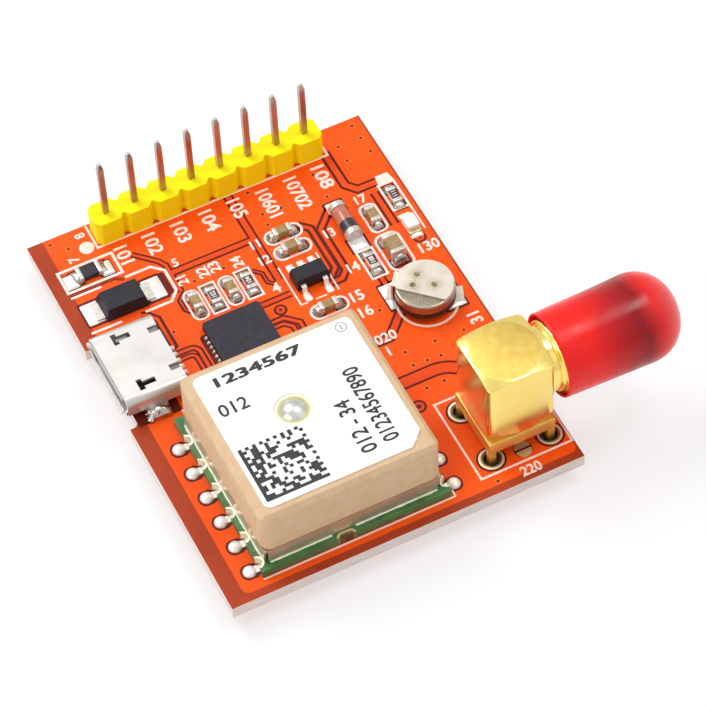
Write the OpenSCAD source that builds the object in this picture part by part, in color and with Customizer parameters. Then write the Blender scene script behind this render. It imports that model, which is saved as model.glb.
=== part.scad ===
// GPS receiver board: castellated receiver module, pin header, micro USB socket,
// backup cell and a right-angle antenna jack under a soft dust cap.
// Millimetres. The origin is at the middle of the board's underside, +Z up,
// +X along the pin header towards the antenna jack, +Y towards the header.

/* [Board] */
// Width of the circuit board, along the pin header
board_w = 30; // [29.5:0.5:40]
// Length of the circuit board, from the jack's edge to the header's edge
board_l = 39; // [38.5:0.5:50]
// Thickness of the circuit board
board_t = 1.2; // [0.8:0.1:2]
// Depth of the cut-out under the mouth of the USB socket
notch_depth = 0.75; // [0.4:0.05:1]
// Room beside the USB shell in that cut-out, on each side
notch_room = 0.55; // [0.4:0.05:1]
// Inner corner radius of that cut-out
notch_r = 0.4; // [0.1:0.05:0.7]

/* [Pin header] */
// Distance between pins
pin_pitch = 2.54; // [2.3:0.01:2.6]
// Thickness of a square pin
pin_w = 0.5; // [0.4:0.02:0.8]
// Pin length that stands above the plastic
pin_above = 5.9; // [3:0.1:12]
// Pin length that sticks out below the board
pin_below = 1.6; // [0.8:0.1:3]
// Length of the tapered pin ends
pin_tip = 0.5; // [0.2:0.1:0.7]
// Width of a pin at its very end
pin_tip_w = 0.25; // [0.1:0.05:0.35]
// Height of the plastic strip
strip_h = 2.54; // [1.5:0.01:4]
// Depth of the plastic strip, front to back
strip_w = 2.4; // [1.8:0.1:2.8]
// Cut corners of each unit of the strip
strip_chamfer = 0.25; // [0.1:0.01:0.6]
// Pin row's distance from the board's back edge
strip_inset = 1.48; // [1.4:0.02:4]
// Sideways shift of the pin row from the board's middle
strip_shift = 0.48; // [-1:0.02:1]
// Room around a pin in its board hole
pin_hole_room = 0.06; // [0.03:0.01:0.15]

/* [Receiver module] */
// Thickness of the green module board
module_t = 0.8; // [0.6:0.1:1.2]
// Share of the free width between the left edge and the jack that lies left of the module
module_share = 0.45; // [0.4:0.01:0.5]
// Distance of the module from the board's front edge
module_front = 1.45; // [1:0.05:1.8]
// Distance between the module's edge contacts
castell_pitch = 2.54; // [2:0.01:2.6]
// First edge contact's distance from the module's front edge
castell_first = 0.94; // [0.8:0.02:1.5]
// Radius of an edge contact's half hole
castell_r = 0.45; // [0.3:0.05:0.6]
// Length of a solder joint on the board beside an edge contact
joint_l = 1.5; // [1:0.1:1.6]
// Height of a solder joint
joint_h = 0.5; // [0.3:0.05:0.7]
// Border of module board left free around the shield can
can_border = 0.55; // [0.3:0.05:1]
// How far the ceramic patch stands out over the shield can
can_inset = 0.05; // [0:0.05:0.5]
// Height of the shield can
can_h = 1.5; // [1.3:0.1:2.5]
// Sheet thickness of the shield can
can_t = 0.2; // [0.1:0.05:0.3]
// Width of the slits at the can's folded corners
can_slit = 0.3; // [0.1:0.05:0.5]
// Thickness of the adhesive pad under the ceramic patch
tape_t = 0.15; // [0.05:0.05:0.4]
// Border of shield can left free around the adhesive pad
tape_border = 0.4; // [0.1:0.1:1]

/* [Under the shield can] */
// Width and length of the receiver chip
receiver_w = 5; // [4:0.1:6]
// Height of the receiver chip
receiver_h = 0.9; // [0.7:0.05:1]
// Receiver chip's distance from the can's right and back edges, to its middle
receiver_inset = 4.6; // [4:0.1:5]
// Length of the crystal
crystal_l = 2.5; // [2:0.1:3.2]
// Width of the crystal
crystal_w = 2; // [1.6:0.1:2.5]
// Height of the crystal
crystal_h = 0.8; // [0.5:0.05:1]
// Crystal's distance from the can's left and back edges, to its middle
crystal_inset = 3.4; // [2.5:0.1:4]
// Length of the antenna filter
filter_l = 1.4; // [1:0.1:2]
// Width of the antenna filter
filter_w = 1.1; // [0.8:0.1:1.5]
// Height of the antenna filter
filter_h = 0.6; // [0.4:0.05:0.9]
// Antenna filter's distance from the can's left and front edges, to its middle
filter_inset = 4; // [3:0.1:5]
// Length of the antenna amplifier
amplifier_l = 1.5; // [1:0.1:2]
// Width of the antenna amplifier
amplifier_w = 1; // [0.8:0.1:1.5]
// Height of the antenna amplifier
amplifier_h = 0.5; // [0.4:0.05:0.9]
// Gap between the antenna filter and the antenna amplifier
amplifier_gap = 1.2; // [0.5:0.1:2]

/* [Patch antenna] */
// Width and length of the ceramic patch
patch_w = 15; // [13:0.1:17]
// Height of the ceramic patch
patch_h = 4; // [2:0.1:6]
// Radius of the upright edges
patch_r = 0.8; // [0.3:0.1:1.5]
// Bevel around the top
patch_bevel = 0.35; // [0.1:0.05:0.6]
// Border of ceramic left free around the silver electrode
electrode_border = 1.3; // [1:0.1:2]
// Thickness of the silver electrode
electrode_t = 0.05; // [0.03:0.01:0.1]
// Border of ceramic left free around the label
label_border = 0.8; // [0.7:0.05:1.2]
// Thickness of the label
label_t = 0.1; // [0.05:0.05:0.2]
// Corner radius of the label
label_r = 0.6; // [0.2:0.1:1]
// Cut across the label's front right corner
label_cut = 1.2; // [0.6:0.1:2]
// Hole in the label above the feed pin
label_hole_d = 3; // [2.4:0.1:4]
// Feed pin's distance from the patch's middle, sideways
feed_x = -0.9; // [-2:0.1:0]
// Feed pin's distance from the patch's middle, front to back
feed_y = 0.65; // [0:0.05:2]
// Diameter of the feed pin
feed_d = 0.9; // [0.5:0.05:1.2]
// Room around the feed pin in its holes
feed_room = 0.05; // [0.02:0.01:0.15]
// Diameter of the feed pin's domed head
feed_head_d = 2.1; // [1.8:0.1:2.3]
// Height of the feed pin's domed head
feed_head_h = 0.5; // [0.3:0.05:0.8]

/* [USB socket] */
// Width of the stamped shell
usb_w = 7.5; // [7:0.1:8]
// Height of the stamped shell
usb_h = 2.45; // [2.3:0.05:3]
// Length of the shell behind its flared lips
usb_l = 5.25; // [4.8:0.05:5.6]
// Sheet thickness of the shell
usb_t = 0.25; // [0.15:0.05:0.3]
// Radius of the shell's upper corners
usb_r = 0.6; // [0.4:0.1:0.8]
// Slope at the shell's lower corners
usb_slope = 0.9; // [0.6:0.1:1]
// Length of the flared lips
lip_l = 0.2; // [0.15:0.05:0.4]
// How far the lips spread
lip_spread = 0.12; // [0.05:0.01:0.2]
// Distance of the shell behind the board's edge, without its lips
usb_inset = 0.25; // [0.2:0.05:0.5]
// Thickness of the plastic tongue
tongue_t = 0.6; // [0.5:0.05:0.8]
// Width of the plastic tongue
tongue_w = 3.7; // [3.3:0.1:4]
// Distance between the five contacts
contact_pitch = 0.65; // [0.6:0.01:0.7]
// Width of a contact
contact_w = 0.3; // [0.2:0.05:0.4]
// Thickness of a contact
contact_t = 0.12; // [0.08:0.02:0.2]
// Contact length that shows behind the shell
contact_tail = 0.6; // [0.4:0.05:1]

/* [Antenna jack] */
// Middle of the jack, from the board's right edge
jack_right = 3.95; // [3.9:0.05:5]
// Middle of the jack, from the board's front edge
jack_front = 5.6; // [4.5:0.1:7]
// Height of the barrel's axis above the board
jack_axis_h = 6.3; // [6:0.1:8]
// Width of the jack's square body
jack_w = 5.5; // [5.3:0.1:6]
// Height of the jack's square body above the barrel's axis
jack_above = 3.05; // [2.9:0.05:3.5]
// Height of the jack's square body below the barrel's axis
jack_under = 3.7; // [3.4:0.05:3.8]
// Diameter of the turned circles left on its upper and lower ends
jack_turned_d = 5.55; // [5.4:0.05:6.5]
// Slope of the turned corners above, in degrees
corner_angle_above = 12; // [8:1:30]
// Slope of the turned corners below, in degrees
corner_angle_below = 45; // [20:1:50]
// Diameter of the neck under the body
neck_d = 4.9; // [4:0.1:5.2]
// Height of that neck
neck_h = 0.3; // [0.2:0.05:0.5]
// Width of the base plate that carries the legs
base_w = 5.7; // [5.7:0.1:6.5]
// Thickness of that base plate
base_t = 1.25; // [0.8:0.05:1.5]
// Distance between the legs
leg_pitch = 5.08; // [4.6:0.02:5.1]
// Thickness of a square leg
leg_w = 0.6; // [0.5:0.02:0.62]
// Leg length that sticks out below the board
leg_below = 1.2; // [0.6:0.1:2]
// Room around a leg in its board hole
leg_hole_room = 0.25; // [0.1:0.05:0.3]
// Thread diameter of the barrel
barrel_d = 6.35; // [6:0.05:6.6]
// Length of the barrel
barrel_l = 9.4; // [8:0.1:11]
// Diameter of the barrel's root, behind the thread
root_d = 5.3; // [5.2:0.1:5.5]
// Length of the barrel's root
root_l = 0.8; // [0.4:0.1:2]
// Diameter of the barrel's spigot in the body
spigot_d = 4.9; // [4.5:0.1:5]
// Length of that spigot
spigot_l = 0.8; // [0.4:0.1:1]
// Diameter of the recess in the barrel's mouth
mouth_d = 4.6; // [4.3:0.1:5]
// Depth of that recess
mouth_depth = 1.9; // [1:0.1:3]
// Diameter of the white insulator
insulator_d = 4.1; // [3.8:0.1:4.2]
// Diameter of the insulator's downward part
riser_d = 2.2; // [1.8:0.1:2.6]
// Diameter of the centre contact
contact_d = 1.27; // [1.1:0.01:1.4]
// Socket hole in the centre contact
socket_d = 0.95; // [0.7:0.05:1]
// Depth of that socket hole
socket_depth = 2.5; // [1.5:0.1:4]
// Diameter of the centre contact's downward pin
tail_d = 0.9; // [0.6:0.05:1]
// Room around that pin in its board hole
tail_hole_room = 0.25; // [0.1:0.05:0.4]

/* [Dust cap] */
// Thickness of the closed end
cap_end_t = 2.1; // [1.6:0.1:3]
// Wall at the open end
cap_mouth_wall = 0.2; // [0.2:0.025:0.6]
// Wall at the closed end, before its rounding
cap_end_wall = 0.4; // [0.3:0.025:1]
// Rounding of the closed end
cap_round = 3.1; // [0.8:0.1:3.5]
// Room between the cap and the barrel
cap_room = 0.1; // [0.05:0.01:0.12]
// Gap between the cap's open end and the jack's body
cap_gap = 1; // [0.3:0.1:1.2]
// Free length between the barrel's end and the closed end
cap_free = 0.3; // [0.2:0.1:0.6]

/* [Rectifier diode] */
// Length of the moulded body
diode_l = 3.7; // [3.2:0.1:4.2]
// Width of the moulded body
diode_w = 2.5; // [2:0.1:2.8]
// Height of the moulded body
diode_h = 1.15; // [0.9:0.05:2]
// Moulding slope of the body's sides
diode_draft = 0.25; // [0.05:0.05:0.35]
// Middle of the diode, from the board's left edge
diode_left = 4.6; // [4.2:0.1:5]
// Width of the metal tabs
tab_w = 1.7; // [1:0.1:2]
// Thickness of the metal tabs
tab_t = 0.25; // [0.1:0.05:0.4]
// Length of the metal tabs outside the body
tab_out = 0.7; // [0.4:0.05:0.9]

/* [Chips] */
// Length of a small chip
chip_l = 1.6; // [1.2:0.1:1.7]
// Width of a small chip
chip_w = 0.8; // [0.6:0.05:0.9]
// Height of a small capacitor
cap_h = 0.8; // [0.5:0.05:0.9]
// Height of a resistor
resistor_h = 0.5; // [0.35:0.05:0.6]
// Length of a chip's metal ends
chip_end = 0.35; // [0.2:0.05:0.4]
// How far the metal ends stand proud
chip_proud = 0.03; // [0.01:0.01:0.06]
// Length of the large capacitor
large_l = 2; // [1.8:0.1:2.2]
// Width of the large capacitor
large_w = 1.25; // [1:0.05:1.4]
// Height of the large capacitor
large_h = 1.25; // [0.8:0.05:1.4]
// Length of the chip fuse
fuse_l = 2; // [1.6:0.1:3.2]
// Width of the chip fuse
fuse_w = 1.25; // [0.8:0.05:1.6]
// Height of the chip fuse
fuse_h = 0.55; // [0.4:0.05:0.8]
// Distance between the four chips of the row
row_step = 1.55; // [1.3:0.05:1.6]
// First chip of the row, from the board's left edge
row_left = 9.7; // [9.5:0.05:10]
// Middle of the fuse, from the board's left edge
fuse_left = 3.45; // [3:0.05:4]
// Resistor beside the cell, from the board's right edge
cell_resistor_right = 6; // [5.5:0.1:6.5]
// Filter capacitor and large capacitor, from the board's right edge
filter_right = 3.9; // [3.5:0.1:4]
// Lamp's resistor, from the board's right edge
lamp_resistor_right = 1.35; // [1:0.05:1.5]

/* [USB bridge chip] */
// Width and length of the leadless chip
bridge_w = 5; // [4.6:0.1:5.2]
// Height of the leadless chip
bridge_h = 0.85; // [0.7:0.05:1]
// Distance between its pads
bridge_pitch = 0.5; // [0.45:0.01:0.55]
// Width of a pad
bridge_pad_w = 0.25; // [0.2:0.01:0.3]
// Height of a pad under the body
bridge_pad_h = 0.2; // [0.1:0.05:0.25]
// How far the pads stand out
bridge_pad_out = 0.08; // [0.04:0.02:0.15]
// Length of a pad
bridge_pad_l = 0.6; // [0.3:0.05:0.65]
// Width of the pad under the chip's middle
bridge_slug_w = 3.1; // [2.5:0.1:3.2]
// Middle of the leadless chip, from the board's left edge
bridge_left = 11.55; // [11:0.05:12]

/* [Regulator] */
// Length of the regulator's body
regulator_l = 2.9; // [2.7:0.05:3.1]
// Width of the regulator's body
regulator_w = 1.6; // [1.4:0.05:1.8]
// Height of the regulator's body
regulator_h = 1.1; // [0.8:0.05:1.3]
// Gap under the regulator's body
regulator_gap = 0.1; // [0.05:0.05:0.2]
// Moulding slope of the regulator's sides
regulator_draft = 0.12; // [0.05:0.01:0.2]
// Span over the tips of the leads
lead_span = 3; // [2.7:0.05:3.3]
// Distance between leads
lead_pitch = 0.95; // [0.85:0.01:1.05]
// Width of a lead
lead_w = 0.4; // [0.3:0.02:0.5]
// Thickness of a lead
lead_t = 0.15; // [0.1:0.01:0.2]
// Regulator and its capacitors, to the right of the board's middle
regulator_off = 3.9; // [3.5:0.1:4.2]

/* [Glass diode and lamp] */
// Diameter of the glass tube
glass_d = 1.35; // [1.1:0.05:1.5]
// Length of the glass tube
glass_l = 2.5; // [2:0.1:2.7]
// Diameter of the metal ends
glass_end_d = 1.45; // [1.4:0.05:1.7]
// Length of a metal end
glass_end_l = 0.5; // [0.3:0.05:0.6]
// Diameter of the studs inside the glass
stud_d = 0.75; // [0.5:0.05:0.9]
// Thickness of the die between the studs
die_t = 0.3; // [0.15:0.05:0.5]
// Length of the indicator lamp
lamp_l = 2; // [1.6:0.1:2.2]
// Width of the indicator lamp
lamp_w = 1.1; // [0.8:0.05:1.3]
// Height of the lamp's carrier
lamp_base_h = 0.3; // [0.2:0.05:0.5]
// Height of the lamp's lens
lamp_lens_h = 0.45; // [0.3:0.05:0.7]
// Length of the lamp's lens
lamp_lens_l = 1.3; // [1:0.1:1.5]
// Slope of the lens's ends
lamp_lens_slope = 0.1; // [0.05:0.05:0.2]
// Middle of the glass diode, from the board's right edge
glass_right = 6.2; // [5.8:0.1:6.5]
// Middle of the lamp, from the board's right edge
lamp_right = 1.5; // [1.2:0.1:1.8]

/* [Coin cell] */
// Diameter of the cell
cell_d = 4.9; // [4.4:0.1:5]
// Height of the cell
cell_h = 1.45; // [1.2:0.05:2]
// Gap between the cell and the board
cell_lift = 0.4; // [0.3:0.05:0.8]
// Diameter of the smaller lid on the underside
cell_lid_d = 3.8; // [3:0.1:4]
// Height of that lid
cell_lid_h = 0.45; // [0.2:0.05:0.6]
// Radius of the can's edges
cell_edge_r = 0.2; // [0.1:0.02:0.3]
// Thickness of the welded tabs
cell_tab_t = 0.15; // [0.1:0.05:0.2]
// Straight side of the upper tab, from the cell's middle
cell_tab_cut = 1.15; // [0.5:0.05:1.8]
// Direction of that straight side, in degrees
cell_tab_turn = -44; // [-60:1:-30]
// Width of both tabs' legs
cell_leg_w = 1.5; // [1:0.1:1.8]
// Length of the tabs' solder feet
cell_foot = 0.65; // [0.4:0.05:0.8]
// Direction of the upper tab's leg, in degrees
cell_leg_turn = 142; // [130:1:150]
// Direction of the lower tab's leg, in degrees
cell_low_turn = -20; // [-35:1:-10]
// Middle of the cell, from the board's right edge
cell_right = 3.85; // [3.8:0.05:4.5]

/* [Places behind the module] */
// USB socket, from the module's back edge to its middle
usb_behind = 5.5; // [5:0.05:6]
// Chip fuse, from the module's back edge to its middle
fuse_behind = 16.8; // [16.4:0.05:17]
// Rectifier diode, from the module's back edge to its middle
diode_behind = 12.8; // [12.4:0.05:13.2]
// Row of four chips, from the module's back edge to its middle
row_behind = 9.85; // [9.4:0.05:10.2]
// USB bridge chip, from the module's back edge to its middle
bridge_behind = 4.9; // [4.4:0.05:5.2]
// Regulator, from the module's back edge to its middle
regulator_behind = 8; // [7.6:0.05:8.4]
// Supply capacitor next to the header, from the module's back edge to its middle
supply_1_behind = 13.1; // [12.8:0.05:13.6]
// Supply capacitor behind the regulator, from the module's back edge to its middle
supply_2_behind = 11.35; // [11:0.05:11.6]
// Supply capacitor before the regulator, from the module's back edge to its middle
supply_3_behind = 4.6; // [4:0.05:5]
// Glass diode, from the module's back edge to its middle
glass_behind = 11.4; // [11:0.05:12]
// Resistor beside the cell, from the module's back edge to its middle
cell_resistor_behind = 7.05; // [6.8:0.05:7.4]
// Filter capacitor, from the module's back edge to its middle
filter_behind = 11.15; // [10.8:0.05:11.6]
// Large capacitor, from the module's back edge to its middle
large_behind = 7.3; // [7:0.05:7.8]
// Lamp's resistor, from the module's back edge to its middle
lamp_resistor_behind = 12.3; // [12:0.05:13]
// Lamp, from the module's back edge to its middle
lamp_behind = 9.05; // [8.6:0.05:9.4]
// Coin cell, from the module's back edge to its middle
cell_behind = 1.9; // [1.5:0.05:2.2]

/* [Hidden] */
$fn = 48;
eps = 0.01;
left = -board_w / 2;
right = board_w / 2;
front = -board_l / 2;
back = board_l / 2;
top = board_t;

// Pin row
pin_count = 8;
strip_y = back - strip_inset;
pin_hole_d = pin_w * sqrt(2) + 2 * pin_hole_room;
pin_top = top + strip_h + pin_above;
solder_h = 0.7;
solder_spread = 0.35;
solder_neck = 0.08;

// Receiver module and its stack
castell_count = 6;
can_w = patch_w - 2 * can_inset;
module_w = can_w + 2 * can_border;
jack_x = right - jack_right;
module_free = jack_x - base_w / 2 - left - module_w;
module_x = left + module_share * module_free + module_w / 2;
module_y = front + module_front + module_w / 2;
module_back = module_y + module_w / 2;
can_z = top + module_t;
tape_w = can_w - 2 * tape_border;
tape_z = can_z + can_h;
patch_z = tape_z + tape_t;
patch_top = patch_z + patch_h;
electrode_w = patch_w - 2 * electrode_border;
label_w = patch_w - 2 * label_border;
feed_hole_d = feed_d + 2 * feed_room;
joint_r = joint_l / 2;
edge_slot_w = 1.3;
edge_slot_depth = 0.3;
edge_slot_x = -0.9;

// USB socket
usb_x = left + usb_inset;
usb_bevel_turn = tan(22.5);
contact_count = 5;
tongue_z = usb_h / 2;
block_l = 1.2;
block_inset = 0.12;
window_x = 1.5;
window_head_l = 0.45;
window_head_w = 1.1;
window_stem_l = 1.05;
window_stem_w = 0.5;
window_spread = 2.45;
rear_slot_l = 0.85;
rear_slot_w = 0.6;
rear_slot_spread = 2.05;
foot_x = 1.55;
foot_l = 1.8;
foot_out = 0.6;

// Antenna jack, in its own frame at the crossing of the barrel's axis and the body's axis
jack_y = front + jack_front;
jack_z = top + jack_axis_h;
base_low = -jack_under - neck_h - base_t;
leg_end = -jack_z - leg_below;
leg_hole_d = leg_w * sqrt(2) + 2 * leg_hole_room;
barrel_end = jack_w / 2 + barrel_l;
insulator_end = barrel_end - mouth_depth;
insulator_back = insulator_d / 4;
thread_chamfer = 0.5;

// Dust cap, in the jack's frame
cap_x = jack_w / 2 + cap_gap;
cap_inner_d = barrel_d + 2 * cap_room;
cap_inner_l = barrel_end + cap_free - cap_x;
cap_l = cap_inner_l + cap_end_t;
cap_mouth_d = cap_inner_d + 2 * cap_mouth_wall;
cap_end_d = cap_inner_d + 2 * cap_end_wall;

// Pads on each side of the bridge chip
bridge_count = 7;

// Places on the board, from its edges and from the module's back edge
usb_y = module_back + usb_behind;
regulator_x = (left + right) / 2 + regulator_off;
fuse_at = [left + fuse_left, module_back + fuse_behind];
diode_at = [left + diode_left, module_back + diode_behind];
row_at = [left + row_left, module_back + row_behind];
bridge_at = [left + bridge_left, module_back + bridge_behind];
regulator_at = [regulator_x, module_back + regulator_behind];
supply_1_at = [regulator_x, module_back + supply_1_behind];
supply_2_at = [regulator_x, module_back + supply_2_behind];
supply_3_at = [regulator_x, module_back + supply_3_behind];
glass_at = [right - glass_right, module_back + glass_behind];
cell_resistor_at = [right - cell_resistor_right, module_back + cell_resistor_behind];
filter_cap_at = [right - filter_right, module_back + filter_behind];
large_cap_at = [right - filter_right, module_back + large_behind];
lamp_resistor_at = [right - lamp_resistor_right, module_back + lamp_resistor_behind];
lamp_at = [right - lamp_right, module_back + lamp_behind];
cell_at = [right - cell_right, module_back + cell_behind];
small_cap = [chip_l, chip_w, cap_h];
small_resistor = [chip_l, chip_w, resistor_h];
large_cap = [large_l, large_w, large_h];
fuse_size = [fuse_l, fuse_w, fuse_h];
cap_colour = "tan";
resistor_colour = "dimgray";
along = 0;
across = 90;

// Every chip: name, place, turn, size, colour
CHIPS = [
    ["row_capacitor_1", row_at, across, small_cap, cap_colour],
    ["row_resistor_1", row_at + [row_step, 0], across, small_resistor, resistor_colour],
    ["row_capacitor_2", row_at + [2 * row_step, 0], across, small_cap, cap_colour],
    ["row_resistor_2", row_at + [3 * row_step, 0], across, small_resistor, resistor_colour],
    ["supply_capacitor_1", supply_1_at, along, small_cap, cap_colour],
    ["supply_capacitor_2", supply_2_at, along, small_cap, cap_colour],
    ["supply_capacitor_3", supply_3_at, along, small_cap, cap_colour],
    ["cell_resistor", cell_resistor_at, across, small_resistor, resistor_colour],
    ["filter_capacitor", filter_cap_at, across, small_cap, cap_colour],
    ["large_capacitor", large_cap_at, across, large_cap, cap_colour],
    ["lamp_resistor", lamp_resistor_at, across, small_resistor, resistor_colour],
    ["chip_fuse", fuse_at, along, fuse_size, "darkslategray"],
];

// Pieces under the shield can: name, place in the module, size, colour
receiver_at = [can_w / 2 - receiver_inset, can_w / 2 - receiver_inset];
crystal_at = [crystal_inset - can_w / 2, can_w / 2 - crystal_inset];
filter_at = [filter_inset - can_w / 2, filter_inset - can_w / 2];
amplifier_at = filter_at + [filter_l / 2 + amplifier_gap + amplifier_l / 2, 0];
INNER = [
    ["receiver_chip", receiver_at, [receiver_w, receiver_w, receiver_h], "black"],
    ["crystal", crystal_at, [crystal_l, crystal_w, crystal_h], "gold"],
    ["antenna_filter", filter_at, [filter_l, filter_w, filter_h], "gray"],
    ["antenna_amplifier", amplifier_at, [amplifier_l, amplifier_w, amplifier_h], "black"],
];
inner_notch = 0.3;

function pin_x(i) = strip_shift + (i - (pin_count - 1) / 2) * pin_pitch;
function castell_y(i) = -module_w / 2 + castell_first + i * castell_pitch;
function contact_y(i) = (i - (contact_count - 1) / 2) * contact_pitch;

// Outline drawn in X and Z, carried along Y
module along_y(depth) {
    rotate([90, 0, 0]) linear_extrude(depth, center = true) children();
}

// Outline drawn in Y and Z, carried along X
module along_x(depth) {
    rotate([90, 0, 90]) linear_extrude(depth, center = true) children();
}

module rounded_rect(w, l, r) {
    square([w - 2 * r, l], center = true);
    square([w, l - 2 * r], center = true);
    for (x = [-1, 1], y = [-1, 1]) {
        translate([x * (w / 2 - r), y * (l / 2 - r)]) circle(r);
    }
}

// Outline of a block whose sides are upright below its parting line and sloped above it
module draft_outline(w, h, draft, parting) {
    polygon([[-w / 2, 0], [w / 2, 0], [w / 2, parting],
             [w / 2 - draft, h], [-w / 2 + draft, h], [-w / 2, parting]]);
}

module moulded_block(l, w, h, draft, parting) {
    intersection() {
        along_y(w) draft_outline(l, h, draft, parting);
        along_x(l) draft_outline(w, h, draft, parting);
    }
}

// Outline of a square bar with both ends tapered
module tapered_outline(low, high, w, tip, tip_w) {
    polygon([[-tip_w / 2, low], [tip_w / 2, low], [w / 2, low + tip], [w / 2, high - tip],
             [tip_w / 2, high], [-tip_w / 2, high], [-w / 2, high - tip], [-w / 2, low + tip]]);
}

module pcb() {
    color("orangered") difference() {
        linear_extrude(board_t) difference() {
            square([board_w, board_l], center = true);
            translate([left, usb_y]) rounded_rect(2 * notch_depth, usb_w + 2 * notch_room, notch_r);
        }
        for (i = [0 : pin_count - 1]) {
            translate([pin_x(i), strip_y, -eps]) cylinder(h = board_t + 2 * eps, d = pin_hole_d);
        }
        for (x = [-1, 1], y = [-1, 1]) {
            translate([jack_x + x * leg_pitch / 2, jack_y + y * leg_pitch / 2, -eps])
                cylinder(h = board_t + 2 * eps, d = leg_hole_d);
        }
        translate([jack_x, jack_y, -eps]) cylinder(h = board_t + 2 * eps, d = tail_d + 2 * tail_hole_room);
    }
}

// One unit of the strip: a square with cut corners
module strip_unit() {
    w = pin_pitch / 2;
    l = strip_w / 2;
    c = strip_chamfer;
    polygon([[-w, -l + c], [-w + c, -l], [w - c, -l], [w, -l + c],
             [w, l - c], [w - c, l], [-w + c, l], [-w, l - c]]);
}

module header_strip() {
    color("yellow") translate([0, strip_y, top]) linear_extrude(strip_h) difference() {
        for (i = [0 : pin_count - 1]) {
            translate([pin_x(i), 0]) strip_unit();
        }
        for (i = [0 : pin_count - 1]) {
            translate([pin_x(i), 0]) square(pin_w, center = true);
        }
    }
}

module header_pin(i) {
    color("gold") translate([pin_x(i), strip_y, 0]) intersection() {
        along_y(pin_w) tapered_outline(-pin_below, pin_top, pin_w, pin_tip, pin_tip_w);
        along_x(pin_w) tapered_outline(-pin_below, pin_top, pin_w, pin_tip, pin_tip_w);
    }
}

// Solder cone on the underside around a square pin or leg
module solder_cone(w) {
    neck_r = w * sqrt(2) / 2 + solder_neck;
    translate([0, 0, -solder_h]) difference() {
        cylinder(h = solder_h, r1 = neck_r, r2 = neck_r + solder_spread);
        translate([-w / 2, -w / 2, -eps]) cube([w, w, solder_h + 2 * eps]);
    }
}

module header_solder() {
    color("silver") for (i = [0 : pin_count - 1]) {
        translate([pin_x(i), strip_y, 0]) solder_cone(pin_w);
    }
}

module at_module(z) {
    translate([module_x, module_y, z]) children();
}

module at_feed(z) {
    at_module(z) translate([feed_x, feed_y, 0]) children();
}

module edge_slot() {
    hole = edge_slot_depth;
    translate([edge_slot_x, -module_w / 2]) {
        square([edge_slot_w - 2 * hole, 2 * hole], center = true);
        for (x = [-1, 1]) {
            translate([x * (edge_slot_w / 2 - hole), 0]) circle(hole);
        }
    }
}

module module_board() {
    color("seagreen") at_module(top) difference() {
        linear_extrude(module_t) difference() {
            square(module_w, center = true);
            for (x = [-1, 1], i = [0 : castell_count - 1]) {
                translate([x * module_w / 2, castell_y(i)]) circle(castell_r);
            }
            edge_slot();
        }
        translate([feed_x, feed_y, -eps]) cylinder(h = module_t + 2 * eps, d = feed_hole_d);
    }
}

// Solder joint: a low dome on the board's pad, climbing into the half hole
module solder_joint() {
    ball_r = (joint_r * joint_r + joint_h * joint_h) / (2 * joint_h);
    intersection() {
        translate([joint_r, 0, joint_h - ball_r]) sphere(ball_r);
        translate([0, -2 * joint_r, 0]) cube([3 * joint_r, 4 * joint_r, joint_h + eps]);
    }
    intersection() {
        cylinder(h = joint_h, r = castell_r);
        translate([-castell_r, -castell_r, 0]) cube([castell_r, 2 * castell_r, joint_h]);
    }
}

module module_solder() {
    color("whitesmoke") at_module(top) for (i = [0 : castell_count - 1]) {
        translate([module_w / 2, castell_y(i), 0]) solder_joint();
        translate([-module_w / 2, castell_y(i), 0]) mirror([1, 0, 0]) solder_joint();
    }
}

module shield_can() {
    inner_w = can_w - 2 * can_t;
    color("silver") at_module(can_z) difference() {
        translate([-can_w / 2, -can_w / 2, 0]) cube([can_w, can_w, can_h]);
        translate([-inner_w / 2, -inner_w / 2, -eps]) cube([inner_w, inner_w, can_h - can_t + eps]);
        for (x = [-1, 1], y = [-1, 1]) {
            translate([x * can_w / 2, y * can_w / 2, can_h / 2 - can_t])
                cube([2 * can_slit, 2 * can_slit, can_h + eps], center = true);
        }
        translate([feed_x, feed_y, can_h - 2 * can_t]) cylinder(h = 3 * can_t, d = feed_head_d);
    }
}

module patch_tape() {
    color("dimgray") at_module(tape_z) difference() {
        translate([-tape_w / 2, -tape_w / 2, 0]) cube([tape_w, tape_w, tape_t]);
        translate([feed_x, feed_y, -eps]) cylinder(h = tape_t + 2 * eps, d = feed_head_d);
    }
}

module bevel_outline() {
    polygon([[-patch_w / 2, 0], [patch_w / 2, 0], [patch_w / 2, patch_h - patch_bevel],
             [patch_w / 2 - patch_bevel, patch_h], [-patch_w / 2 + patch_bevel, patch_h],
             [-patch_w / 2, patch_h - patch_bevel]]);
}

module patch_ceramic() {
    color("burlywood") at_module(patch_z) difference() {
        intersection() {
            linear_extrude(patch_h) rounded_rect(patch_w, patch_w, patch_r);
            along_y(patch_w) bevel_outline();
            along_x(patch_w) bevel_outline();
        }
        translate([-electrode_w / 2, -electrode_w / 2, patch_h - electrode_t])
            cube([electrode_w, electrode_w, electrode_t + eps]);
        translate([feed_x, feed_y, -eps]) cylinder(h = patch_h + 2 * eps, d = feed_hole_d);
    }
}

module patch_electrode() {
    color("silver") at_module(patch_top - electrode_t) difference() {
        translate([-electrode_w / 2, -electrode_w / 2, 0]) cube([electrode_w, electrode_w, electrode_t]);
        translate([feed_x, feed_y, -eps]) cylinder(h = electrode_t + 2 * eps, d = feed_hole_d);
    }
}

module patch_label() {
    color("white") at_module(patch_top) linear_extrude(label_t) difference() {
        rounded_rect(label_w, label_w, label_r);
        translate([feed_x, feed_y]) circle(d = label_hole_d);
        translate([label_w / 2, -label_w / 2]) rotate(45) square(label_cut * sqrt(2), center = true);
    }
}

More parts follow.
